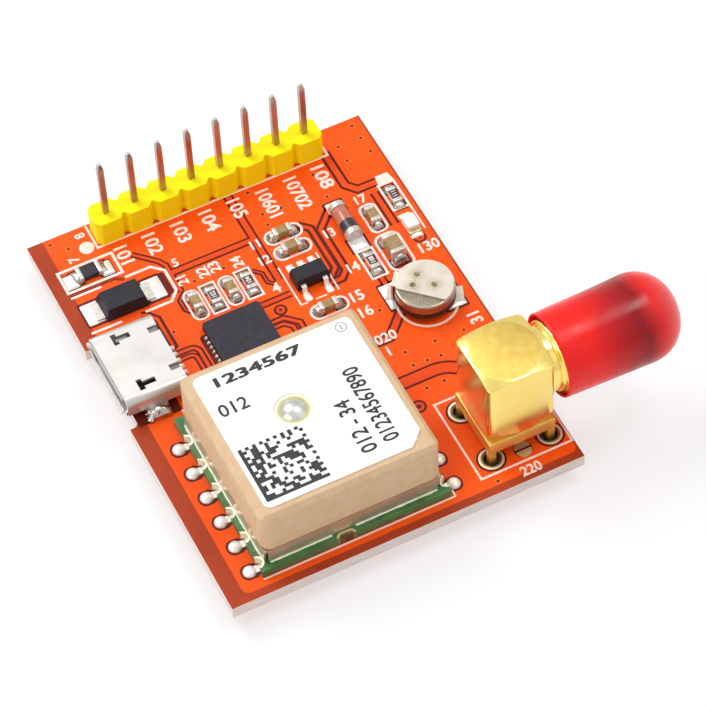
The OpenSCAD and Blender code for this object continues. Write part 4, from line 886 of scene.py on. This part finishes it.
# Outline of the bare gap around a joint: distance out from the module's edge, distance along it
flare = [(castell["clear"] - castell["rootIn"], root), (0.05, padHalf * 0.8), (0.25, padHalf)]
jointGap = [(out, -along) for out, along in flare]
jointGap += [(out + castell["clear"], along) for out, along in arc(padOut, 0, padHalf, -80, 80, 12)]
jointGap += flare[::-1]
for side in (-1, 1):
    edge = moduleHigh.x if side > 0 else moduleLow.x
    inner, tip = edge - side * castell["rootIn"], edge + side * padOut
    start, stop = (90, 270) if side > 0 else (-90, 90)
    for i in range(castell["count"]):
        y = moduleLow.y + castell["first"] + i * castell["pitch"]
        plate(jointMesh, [(inner, y - root), (tip, y - neck), (tip, y + neck), (inner, y + root)],
              boardTop, boardTop + castell["neckTall"])
        mound(jointMesh, disc(tip, y, padHalf, 24), boardTop, castell["tall"] * dice.uniform(0.9, 1.1), 0,
              (side * dice.uniform(-0.06, 0.06), 0), 0.015, 6, 0.2)
        bareGap([(edge + side * out, y + along * castell["widen"]) for out, along in jointGap])
        ring(creamMesh, edge, y, castell["radius"], boreR, moduleLow.z + 0.05, moduleHigh.z + 0.02, 18,
             start, stop)
        ring(creamMesh, edge, y, rimR, boreR, moduleHigh.z, moduleHigh.z + 0.025, 18, start, stop)
putDown("module_joints", jointMesh, ["solder"], stands=("module_solder",))

# Half-oval slot in the module's front edge: plated wall and rim, a darker filling between as painted shade in
# the slot
slotLook = {"x": -0.9, "wide": 1.3, "deep": 0.3, "rim": 0.16, "wall": 0.07, "proud": 0.02}
slotX = moduleMid.x + slotLook["x"]
slotSide = slotLook["wide"] / 2 - slotLook["deep"]


def slotLine(radius):
    left = arc(slotX - slotSide, moduleLow.y, radius, 180, 90, 8)
    return left + arc(slotX + slotSide, moduleLow.y, radius, 90, 0, 8)


slotPath = slotLine(slotLook["deep"] + slotLook["proud"])
slotRim = slotLine(slotLook["deep"] + slotLook["rim"] / 2)
strip(goldMesh, slotPath, slotLook["wall"], moduleLow.z + 0.05, moduleHigh.z + 0.015)
strip(goldMesh, slotRim, slotLook["rim"], moduleHigh.z, moduleHigh.z + 0.022)
plate(platedShadeMesh, slotPath, moduleLow.z + 0.04, moduleHigh.z - 0.14)

# Solder line at the can's foot, left open in front of the slot
footMesh = bmesh.new()
footLook = {"wide": 0.12, "tall": 0.1, "corner": 0.4, "open": (-1.9, 0.1), "steps": 24}
halfCan = (canHigh.x - canLow.x) / 2
footEnd, wall = halfCan - footLook["corner"], 0.02 - halfCan
for side in range(4):
    turn = Matrix.Rotation(math.pi / 2 * side, 4, "Z")
    known = set(footMesh.verts)
    opening = footLook["open"]
    stretches = ((-footEnd, opening[0]), (opening[1], footEnd)) if side == 0 else ((-footEnd, footEnd),)
    for start, stop in stretches:
        rows = []
        for k in range(footLook["steps"] + 1):
            x = start + (stop - start) * k / footLook["steps"]
            wide = footLook["wide"] * dice.uniform(0.75, 1.1)
            tall = footLook["tall"] * dice.uniform(0.8, 1.1)
            corners = ((-halfCan - wide, 0), (wall, 0), (wall, tall), (-halfCan - wide * 0.35, tall * 0.4))
            rows.append([footMesh.verts.new((x, y, z)) for y, z in corners])
        skin(footMesh, rows)
        addFace(footMesh, rows[0][::-1])
        addFace(footMesh, rows[-1])
    fresh = [v for v in footMesh.verts if v not in known]
    place = Matrix.Translation((moduleMid.x, moduleMid.y, canLow.z)) @ turn
    bmesh.ops.transform(footMesh, matrix=place, verts=fresh)
putDown("can_foot_solder", footMesh, ["cream"])

# Label print: plain running digits and a square made of seeded dots
inkMesh = bmesh.new()
inkLow = boxOf("patch_label")[1].z
inkHigh = inkLow + 0.008
codeLook = {"x": -10.1, "y": -16.2, "cells": 18, "side": 5.25, "filled": 0.43}
cells = codeLook["cells"]
step = codeLook["side"] / cells
for column in range(cells):
    for row in range(cells):
        solidLine = column == 0 or row == 0
        clock = (column == cells - 1 and row % 2 == 0) or (row == cells - 1 and column % 2 == 0)
        inner = 0 < column < cells - 1 and 0 < row < cells - 1
        if solidLine or clock or (inner and dice.random() < codeLook["filled"]):
            x, y = codeLook["x"] + column * step, codeLook["y"] + row * step
            plate(inkMesh, [(x, y), (x + step, y), (x + step, y + step), (x, y + step)], inkLow, inkHigh)
digits(inkMesh, "1234567", -5.3, -4.48, inkLow, inkHigh, 0.86, 0, 1.75, 0.045)
digits(inkMesh, "012", -8.6, -7.1, inkLow, inkHigh, 1.15, 0, 0.98, 0.02)
digits(inkMesh, "012 - 34", -1.22, -13.05, inkLow, inkHigh, 1.25, 90, 0.86, 0.02)
digits(inkMesh, "01234567890", 0.7, -11.7, inkLow, inkHigh, 1.25, 90, 0.76, 0.02)
ring(inkMesh, 1.95, -4.15, 0.46, 0.41, inkLow, inkHigh)
digits(inkMesh, "1", 1.95, -4.15, inkLow, inkHigh, 0.5, 0, 1.0, 0.0)
putDown("label_print", inkMesh, ["ink"])
print("receiver module finished")

# USB socket: solder over both side feet, tinned tails behind the shell
usbLow, usbHigh = boxOf("usb_shell")
usbMid = (usbLow + usbHigh) / 2
usbMesh = bmesh.new()
feet = {"from": 1.55, "long": 2.1, "wide": 1.0, "tall": 0.85, "side": 3.75, "crumbs": 10}
for side in (-1, 1):
    x = usbLow.x + feet["from"] + feet["long"] / 2
    y = usbMid.y + side * (feet["side"] + feet["wide"] / 2 - 0.12)
    mound(usbMesh, roundRect(x, y, feet["long"], feet["wide"], 0.25, 5), boardTop, feet["tall"], 0,
          (0, -side * 0.3), 0.14, 5)
    for crumb in range(feet["crumbs"]):
        wide, tall = dice.uniform(0.32, 0.6), dice.uniform(0.4, 1.0)
        crumbX, crumbY = x + dice.uniform(-0.8, 0.8), y + side * dice.uniform(-0.2, 0.25)
        mound(usbMesh, roundRect(crumbX, crumbY, wide, wide * 0.8, 0.1, 2), boardTop, tall, 0,
              (dice.uniform(-0.1, 0.1), -side * 0.1), 0.25, 4)
tails = {"count": 5, "pitch": 0.65, "wide": 0.42, "long": 0.75, "tall": 0.3}
tailX = boxOf("usb_contacts")[1].x - 0.1
for i in range(tails["count"]):
    y = usbMid.y + (i - 2) * tails["pitch"]
    mound(usbMesh, roundRect(tailX, y, tails["long"], tails["wide"], 0.1, 4), boardTop, tails["tall"], 1,
          (-0.1, 0), 0.08, 4)
putDown("usb_solder", usbMesh, ["lump", "solder"])

# Spring tongues that show through the shell's windows
springMesh = bmesh.new()
springLook = {"rear": 2.05, "latch": 2.45, "latchFrom": 2.45, "thick": 0.05}
springZ = boxOf("usb_insulator")[1].z + 0.01 + springLook["thick"] / 2
for side in (-1, 1):
    softBox(springMesh, (usbHigh.x - 0.45, usbMid.y + side * springLook["rear"], springZ),
            (0.8, 0.7, springLook["thick"]), 0.02)
softBox(springMesh, (usbLow.x + springLook["latchFrom"], usbMid.y + springLook["latch"], springZ),
        (0.95, 0.34, springLook["thick"]), 0.02)
putDown("usb_springs", springMesh, ["spring"])

# Solder dots along the leadless chip's sides, solder at the regulator's five leads
bridgeLow, bridgeHigh = boxOf("bridge_chip")
bridgeMid = (bridgeLow + bridgeHigh) / 2
dotMesh = bmesh.new()
dotLook = {"count": 7, "pitch": 0.5, "out": 0.1, "size": 0.26, "tall": 0.24}
halfBridge = (bridgeHigh.x - bridgeLow.x) / 2
for side in range(4):
    for i in range(dotLook["count"]):
        away = Vector((halfBridge + dotLook["out"], (i - 3) * dotLook["pitch"], 0))
        away.rotate(Matrix.Rotation(math.pi / 2 * side, 4, "Z"))
        outline = disc(bridgeMid.x + away.x, bridgeMid.y + away.y, dotLook["size"] / 2, 12)
        mound(dotMesh, outline, boardTop, dotLook["tall"], 0, (0, 0), 0.05, 4)
leadSpots = [(-0.95, 1), (0, 1), (0.95, 1), (-0.95, -1), (0.95, -1)]
for across, side in leadSpots:
    outline = roundRect(regulator.x + across, regulator.y + side * 1.62, 0.6, 0.85, 0.15, 4)
    mound(dotMesh, outline, boardTop, 0.16, 0, (0, -side * 0.15), 0.06, 4)
putDown("chip_solder", dotMesh, ["solder"])

# Rectifier diode: slightly paler bar at the marked end, the cathode mark with a painted highlight on its
# sloped end
markHighlightMesh = bmesh.new()
diodeLow, diodeHigh = boxOf("diode_body")
softBox(markHighlightMesh, (diodeLow.x + 0.42, diode.y, diodeHigh.z + 0.002), (0.16, 1.9, 0.012), 0.003)
putDown("diode_bar_highlight", markHighlightMesh, ["chipBlack"])

# Glass diode: black band near its front end
bandMesh = bmesh.new()
bandLook = {"from": 0.1, "to": 1.0, "low": 0.002, "high": 0.02}
glassLow, glassHigh = boxOf("glass_tube")
glassR = (glassHigh.z - glassLow.z) / 2
bandRows = []
for end, proud in (("from", "low"), ("from", "high"), ("to", "high"), ("to", "low")):
    edge = disc(glass.x, glass.z, glassR + bandLook[proud], 48)
    bandRows.append([bandMesh.verts.new((x, glassLow.y + bandLook[end], z)) for x, z in edge])
skin(bandMesh, bandRows + bandRows[:1])
putDown("glass_band", bandMesh, ["coat"])

# Indicator lamp: carrier with plated ends under a clear block
lampLow, lampHigh = boxOf("lamp")
lampMid = (lampLow + lampHigh) / 2
lampMesh = bmesh.new()
lampLook = {"carrier": 0.3, "lens": 1.36, "plate": 0.34}
lampLong, lampWide = lampHigh.y - lampLow.y, lampHigh.x - lampLow.x
carrier, lensLow = lampLook["carrier"], boardTop + lampLook["carrier"]
softBox(lampMesh, (lampMid.x, lampMid.y, boardTop + carrier / 2),
        (lampWide - 0.04, lampLong - 0.06, carrier), 0.03)
softBox(lampMesh, (lampMid.x, lampMid.y, (lensLow + lampHigh.z) / 2 - 0.01),
        (lampWide - 0.02, lampLook["lens"], lampHigh.z - lensLow + 0.02), 0.1, 1, 4)
for side in (-1, 1):
    y = lampMid.y + side * (lampLong - lampLook["plate"]) / 2
    softBox(lampMesh, (lampMid.x, y, boardTop + carrier / 2 + 0.01),
            (lampWide, lampLook["plate"], carrier + 0.02), 0.03, 2)
    outline = roundRect(lampMid.x, lampMid.y + side * (lampLong / 2 + 0.1), lampWide, 0.55, 0.12, 4)
    mound(lampMesh, outline, boardTop, 0.22, 3, (0, -side * 0.15), 0.05, 4)
putDown("lamp_block", lampMesh, ["teflon", "lens", "padGold", "solder"], stands=("lamp",))

# Coin cell: weld spots on the tab, ruled mesh on the can, a gasket band around its side, coloured dark as
# painted shade under the can
weldMesh = bmesh.new()
weldRings = ((0.24, 0), (0.2, 0.03), (0.15, 0.035), (0.1, 0.012), (0.05, 0.006))
tabTop = boxOf("cell_top_tab")[1].z
for x, y in weldLook["spots"]:
    rows = []
    for radius, level in weldRings:
        rows.append([weldMesh.verts.new((x + dx * dice.uniform(0.95, 1.05), y + dy * dice.uniform(0.95, 1.05),
                                         tabTop + level)) for dx, dy in disc(0, 0, radius, 20)])
    skin(weldMesh, rows)
    addFace(weldMesh, rows[-1])
    addFace(weldMesh, rows[0][::-1])
putDown("weld_spots", weldMesh, ["weld"])

hatchMesh = bmesh.new()
cellLow, cellHigh = boxOf("coin_cell")
hatch = {"turn": -44, "from": 1.3, "to": 2.1, "lines": 5, "radius": 2.2, "wide": 0.045, "tall": 0.004,
         "cross": 9, "crossStep": 0.26, "crossLong": 0.45, "crossLean": 0.12, "crossTall": 0.006}
lean = math.radians(hatch["turn"])
along, off = Vector((math.cos(lean), math.sin(lean))), Vector((math.sin(lean), -math.cos(lean)))
centre = Vector((cell.x, cell.y))
for k in range(hatch["lines"]):
    gap = hatch["from"] + (hatch["to"] - hatch["from"]) * k / (hatch["lines"] - 1)
    half = along * math.sqrt(hatch["radius"] ** 2 - gap ** 2) * 0.92
    middle = centre + off * gap
    strip(hatchMesh, [middle - half, middle + half], hatch["wide"], cellHigh.z, cellHigh.z + hatch["tall"])
for k in range(hatch["cross"]):
    spot = centre + along * (k - (hatch["cross"] - 1) / 2) * hatch["crossStep"] + off * hatch["from"]
    far = spot + off * hatch["crossLong"] + along * hatch["crossLean"]
    strip(hatchMesh, [spot, far], hatch["wide"], cellHigh.z, cellHigh.z + hatch["crossTall"])
putDown("can_ruling", hatchMesh, ["weld"])

# Gasket band round the cell's lower side, coloured dark as painted shade
gasketShadeMesh = bmesh.new()
gasketShade = {"low": 0.12, "high": 0.62, "proud": 0.012, "deep": 0.1}
cellR = (cellHigh.x - cellLow.x) / 2
ring(gasketShadeMesh, cell.x, cell.y, cellR + gasketShade["proud"], cellR - gasketShade["deep"], cellLow.z + gasketShade["low"],
     cellLow.z + gasketShade["high"], steps=72)
putDown("cell_gasket_shade", gasketShadeMesh, ["hole"])
print("small parts finished")

# Antenna jack: a square block with turned ends on a round neck, a foot plate and four legs
legPitch = 5.08
blockLook = {"half": 2.87, "square": 13, "turned": 2.86, "leanAbove": 18, "leanBelow": 40, "soft": 0.04,
             "from": 2.42, "steps": 240, "neck": 2.6, "neckTall": 0.12, "plate": 5.74, "plateTall": 1.2,
             "leg": 0.6}
blockMesh = bmesh.new()
jackLow, jackHigh = boxOf("jack_body")
blockMid = (jackLow + jackHigh) / 2
blockLow, blockHigh = boardTop + blockLook["from"], jackHigh.z
climb, fall = (math.tan(math.radians(blockLook[key])) for key in ("leanBelow", "leanAbove"))


def legSpots(middle):
    reach = legPitch / 2
    return [(middle.x + sx * reach, middle.y + sy * reach) for sx in (-1, 1) for sy in (-1, 1)]


# Smaller of two lengths, with a soft change from one to the other
def softLess(first, second):
    soften = blockLook["soft"]
    least = min(first, second)
    return least - soften * math.log(math.exp((least - first) / soften) + math.exp((least - second) / soften))


def blockRow(level):
    row = []
    for i in range(blockLook["steps"]):
        turn = 2 * math.pi * i / blockLook["steps"]
        across = abs(math.cos(turn)) ** blockLook["square"] + abs(math.sin(turn)) ** blockLook["square"]
        radius = blockLook["half"] / across ** (1 / blockLook["square"])
        radius = softLess(radius, blockLook["turned"] + (blockHigh - level) / fall)
        radius = softLess(radius, blockLook["turned"] + (level - blockLow) / climb)
        x, y = blockMid.x + radius * math.cos(turn), blockMid.y + radius * math.sin(turn)
        row.append(blockMesh.verts.new((x, y, level)))
    return row


stepsUp = [1.3 * (k / 14) ** 1.5 for k in range(15)]
stepsDown = [0.8 * (k / 18) ** 2 for k in range(18, -1, -1)]
blockRows = [blockRow(blockLow + rise) for rise in stepsUp]
blockRows += [blockRow(blockHigh - drop) for drop in stepsDown]
skin(blockMesh, blockRows)
addFace(blockMesh, blockRows[0][::-1])
addFace(blockMesh, blockRows[-1])
neckLow = blockLow - blockLook["neckTall"]
plate(blockMesh, disc(blockMid.x, blockMid.y, blockLook["neck"], 72), neckLow - 0.02, blockLow + 0.02)
softBox(blockMesh, (blockMid.x, blockMid.y, neckLow - blockLook["plateTall"] / 2),
        (blockLook["plate"], blockLook["plate"], blockLook["plateTall"]), 0.08, 0, 4)
legTop = neckLow - blockLook["plateTall"] + 0.1
for x, y in legSpots(blockMid):
    softBox(blockMesh, (x, y, (legTop + jackLow.z) / 2),
            (blockLook["leg"], blockLook["leg"], legTop - jackLow.z), 0.06)
putDown("gold_block", blockMesh, ["gold"], stands=("jack_body",))

# Land rings around the legs with dark plating inside as painted shade, split jumper land, threaded barrel
barrelLow, barrelHigh = boxOf("jack_barrel")
axisY, axisZ = (barrelLow.y + barrelHigh.y) / 2, (barrelLow.z + barrelHigh.z) / 2
jackMid = Vector(((jackLow.x + jackHigh.x) / 2, axisY))
legRing = {"outer": 1.02, "rim": 0.83, "inner": 0.69, "clear": 0.17, "tall": 0.06, "lining": 0.64,
           "floor": 0.75, "steps": 40}
steps, rim, bore = legRing["steps"], legRing["rim"], legRing["inner"]
ringTop, liningLow, floorLow = boardTop + legRing["tall"], boardLow.z + 0.1, boardTop - legRing["floor"]
for x, y in legSpots(jackMid):
    ring(gapMesh, x, y, legRing["outer"] + legRing["clear"], bore, boardTop, above("gap"), steps=steps)
    ring(creamMesh, x, y, legRing["outer"], rim, boardTop, ringTop, steps=steps)
    # Dark inner edge of the ring, lining and floor of the hole: plating darkened as painted shade
    ring(platedShadeMesh, x, y, rim + 0.01, bore, boardTop, (boardTop + ringTop) / 2, steps=steps)
    ring(platedShadeMesh, x, y, bore + 0.005, legRing["lining"], liningLow, boardTop - 0.01, steps=steps)
    plate(platedShadeMesh, disc(x, y, legRing["lining"] + 0.01), floorLow, floorLow + 0.02)
jumper = {"x": 11.1, "y": -16.74, "radius": 0.72, "split": 0.1, "clear": 0.04, "inset": 0.06, "tall": 0.05}
bareGap(disc(jumper["x"], jumper["y"], jumper["radius"] + jumper["clear"]))
for start, away in ((0, jumper["split"]), (180, -jumper["split"])):
    half = arc(jumper["x"], jumper["y"] + away, jumper["radius"] - jumper["inset"], start, start + 180, 18)
    plate(goldMesh, half, boardTop, boardTop + jumper["tall"])

threadLook = {"pitch": 0.7056, "deep": 0.36, "steps": 72, "root": 2.65, "rootLong": 0.8, "spigot": 2.45,
              "bore": 2.05, "mouth": 2.3, "mouthDeep": 1.9, "spigotLong": 0.8, "lead": 0.5}
barrelMesh = bmesh.new()
shoulder = barrelLow.x + threadLook["spigotLong"]
barrelR = (barrelHigh.z - barrelLow.z) / 2
threadFrom = shoulder + threadLook["rootLong"]
threadTo = barrelHigh.x - threadLook["lead"]


def threadAt(x):
    grow = min(1, (x - threadFrom) / 0.5 + 0.15, (threadTo - x) / 0.5 + 0.6)

    def radiusAt(turn):
        phase = ((x - threadFrom) / threadLook["pitch"] - turn / (2 * math.pi)) % 1
        crest = min(1, max(0, 1.25 * abs(2 * phase - 1)))
        return barrelR - threadLook["deep"] * (1 - crest * max(0, grow))
    return radiusAt


backX, mouthX = barrelLow.x, barrelHigh.x - threadLook["mouthDeep"]
profile = [(backX, threadLook["bore"]), (backX, threadLook["spigot"]), (shoulder, threadLook["spigot"]),
           (shoulder, threadLook["root"]), (threadFrom, threadLook["root"])]
ringCount = int((threadTo - threadFrom) / threadLook["pitch"] * 10)
for k in range(ringCount + 1):
    x = threadFrom + (threadTo - threadFrom) * k / ringCount
    profile.append((x, threadAt(x)))
profile += [(barrelHigh.x - 0.05, barrelR - 0.45), (barrelHigh.x, barrelR - 0.5),
            (barrelHigh.x, threadLook["mouth"]), (mouthX, threadLook["mouth"]), (mouthX, threadLook["bore"])]
turned(barrelMesh, profile, axisY, axisZ, threadLook["steps"])
putDown("threaded_barrel", barrelMesh, ["gold"], stands=("jack_barrel",))

# Dust cap: soft dipped vinyl, a little uneven, with a rounded closed end
capLow, capHigh = boxOf("dust_cap")
capLook = {"steps": 96, "mouthR": 3.475, "endR": 3.675, "round": 3.1, "inner": 3.275, "endThick": 2.1,
           "lip": 0.08, "tipR": 0.04}
capMesh = bmesh.new()
capLong = capHigh.x - capLow.x
straight, inside = capLong - capLook["round"], capLong - capLook["endThick"]
mouthR, endR, innerR, lip, tipR = (capLook[key] for key in ("mouthR", "endR", "inner", "lip", "tipR"))


def unevenRadius(radius, along):
    def radiusAt(turn):
        swell = 0.012 * math.sin(2 * turn + 0.6 * along) + 0.008 * math.sin(3 * turn - 0.9 * along + 1)
        return radius - 0.02 + swell
    return radiusAt


outer = [(0, innerR + 0.02), (0, mouthR - lip), (lip * 0.3, mouthR - lip * 0.3), (lip, mouthR)]
outer += [(straight * k / 24, mouthR + (endR - mouthR) * k / 24) for k in range(1, 25)]
outer += [(straight + capLook["round"] * math.sin(t), endR - capLook["round"] * (1 - math.cos(t)))
          for t in [math.pi / 2 * k / 12 for k in range(1, 13)]]
outer += [(capLong, 0.3), (capLong, tipR)]
inner = [(inside, tipR), (inside, innerR - 0.4), (inside - 0.4, innerR), (0.3, innerR)]
capProfile = [(capLow.x + x, unevenRadius(r, x) if r > 2 else r) for x, r in outer]
capProfile += [(capLow.x + x, r) for x, r in inner]
rows = turned(capMesh, capProfile, axisY, axisZ, capLook["steps"], loop=False)
skin(capMesh, [rows[-1], rows[0]])

# The outside and the inside are closed at their tips, and the tube between the tips goes
tips = rows[len(outer) - 1], rows[len(outer)]
tipVerts = set(tips[0]) | set(tips[1])
tube = [face for face in capMesh.faces if set(face.verts) <= tipVerts]
bmesh.ops.delete(capMesh, geom=tube, context="FACES")
addFace(capMesh, tips[0])
addFace(capMesh, tips[1][::-1])
putDown("vinyl_cap", capMesh, ["vinyl"], body="cap", stands=("dust_cap",))
print("jack and cap finished")

# Underside: land rings around the pins and legs, and the same through holes, with dark discs of painted shade
underMesh, underRings, underHoleShade = (bmesh.new() for k in range(3))
underLook = {"tall": 0.03, "pin": (0.95, 0.52, 32), "leg": (1.1, 0.74, 36), "middle": (1.0, 0.7, 32)}
pinSpots = [middleOf(f"header_pin_{i + 1}").xy for i in range(8)]
underSpots = [(spot, "pin") for spot in pinSpots]
underSpots += [(spot, "leg") for spot in legSpots(jackMid)] + [((jackMid.x, jackMid.y), "middle")]
for (x, y), kind in underSpots:
    rim, bore, steps = underLook[kind]
    ring(underMesh, x, y, rim, bore, boardLow.z - underLook["tall"], boardLow.z, steps=steps)
ringLow, holeLow = boardLow.z - layers["trace"], boardLow.z - layers["gap"]
for x, y in vias:
    ring(underRings, x, y, viaLook["ring"], viaLook["hole"], ringLow, boardLow.z, steps=20)
    plate(underHoleShade, disc(x, y, viaLook["hole"], 20), holeLow, boardLow.z)

flatPieces = {
    "under_lands": (underMesh, "solder", "solder"), "under_rings": (underRings, "trace", "solder_mask"),
    "under_hole_shade": (underHoleShade, "hole", "solder_mask"), "board_gaps": (gapMesh, "gap", "solder_mask"),
    "board_tracks": (traceMesh, "trace", "solder_mask"), "board_hole_shade": (holeShadeMesh, "hole", "solder_mask"),
    "board_print": (silkMesh, "silk", "label_paper"), "board_lands": (padMesh, "solder", "solder"),
    "board_gold": (goldMesh, "padGold", "gold_plate"), "board_halos": (haloMesh, "halo", "solder_mask"),
    "hole_plating_shade": (platedShadeMesh, "plated", "gold_plate"), "edge_plating": (creamMesh, "cream", "gold_plate"),
}
for name, (bm, look, slot) in flatPieces.items():
    putDown(name, bm, [look])
print("underside and board layers put down")

# Stage: white floor that keeps the shadow, soft light from the upper left, white surroundings
stageLook = {"floor": 3.0, "white": (0.97, 0.97, 0.97, 1), "lift": 0.6, "ambient": 0.44}


# The lens and mirrored or refracted rays see white in the given share, all other rays the own shader
def showWhite(tree, own, white, output, share):
    rays = tree.nodes.new("ShaderNodeLightPath").outputs
    showing = reckon(tree, "MAXIMUM", rays["Is Camera Ray"], rays["Is Glossy Ray"])
    showing = reckon(tree, "MAXIMUM", showing, rays["Is Transmission Ray"])
    mixer = tree.nodes.new("ShaderNodeMixShader")
    tree.links.new(reckon(tree, "MULTIPLY", showing, share), mixer.inputs["Fac"])
    tree.links.new(own, mixer.inputs[1])
    tree.links.new(white, mixer.inputs[2])
    tree.links.new(mixer.outputs["Shader"], tree.nodes[output].inputs["Surface"])


half, floorZ = stageLook["floor"] / 2, cadBox[0][2]
floorMesh = bmesh.new()
corners = ((-half, -half), (half, -half), (half, half), (-half, half))
floorMesh.faces.new([floorMesh.verts.new((x, y, floorZ)) for x, y in corners])
floorData = bpy.data.meshes.new("floor")
floorMesh.to_mesh(floorData)
floorMesh.free()
floor = bpy.data.objects.new("floor", floorData)
bpy.context.scene.collection.objects.link(floor)
paper, tree, shader = startFinish("whiteSweep")
tree.nodes.remove(shader)
matt = tree.nodes.new("ShaderNodeBsdfDiffuse")
matt.inputs["Color"].default_value = stageLook["white"]
glow = tree.nodes.new("ShaderNodeEmission")
showWhite(tree, matt.outputs["BSDF"], glow.outputs["Emission"], "Material Output", stageLook["lift"])
floorData.materials.append(paper)

world = bpy.data.worlds.new("studio")
bpy.context.scene.world = world
world.use_nodes = True
tree = world.node_tree
ambient = tree.nodes["Background"]
ambient.inputs["Color"].default_value = (1, 1, 1, 1)
ambient.inputs["Strength"].default_value = stageLook["ambient"]
white = tree.nodes.new("ShaderNodeBackground")
showWhite(tree, ambient.outputs["Background"], white.outputs["Background"], "World Output", 1)

lamps = {
    "keyLight": {"at": (-0.14, 0.30, 0.42), "size": 0.28, "power": 1.5},
    "fillLight": {"at": (0.30, -0.30, 0.34), "size": 0.4, "power": 0.16},
    "topLight": {"at": (0.165, 0.0, 0.44), "size": 0.15, "power": 0.52},
    "sideLight": {"at": (-0.36, -0.12, 0.2), "size": 0.3, "power": 0.54},
}
for name, look in lamps.items():
    data = bpy.data.lights.new(name, "AREA")
    data.size = look["size"]
    data.energy = look["power"]
    lamp = bpy.data.objects.new(name, data)
    bpy.context.scene.collection.objects.link(lamp)
    lamp.location = look["at"]
    lamp.rotation_euler = (Vector((0, 0, 0)) - Vector(look["at"])).to_track_quat("-Z", "Y").to_euler()

# Camera: the photograph's own view
view = {"azimuth": -23.7669, "elevation": 53.2536, "roll": -3.3668, "distance": 274.972,
        "target": (3.6375, -2.3311), "lens": 177.97, "sensor": 36, "near": 0.01, "far": 20}
turn, rise, roll = (math.radians(view[key]) for key in ("azimuth", "elevation", "roll"))
away = Vector((math.sin(turn) * math.cos(rise), -math.cos(turn) * math.cos(rise), math.sin(rise)))
level = Vector((math.cos(turn), math.sin(turn), 0))
upward = away.cross(level)
right = level * math.cos(roll) + upward * math.sin(roll)
top = upward * math.cos(roll) - level * math.sin(roll)
cameraData = bpy.data.cameras.new("camera")
cameraData.lens = view["lens"]
cameraData.sensor_width = view["sensor"]
cameraData.clip_start = view["near"]
cameraData.clip_end = view["far"]
camera = bpy.data.objects.new("camera", cameraData)
bpy.context.scene.collection.objects.link(camera)
spot = (Vector((*view["target"], boardTop)) + away * view["distance"]) * mm
camera.matrix_world = Matrix.Translation(spot) @ Matrix((right, top, away)).transposed().to_4x4()
bpy.context.scene.camera = camera
bpy.context.scene.view_settings.view_transform = "Standard"
print("stage, light and camera set")
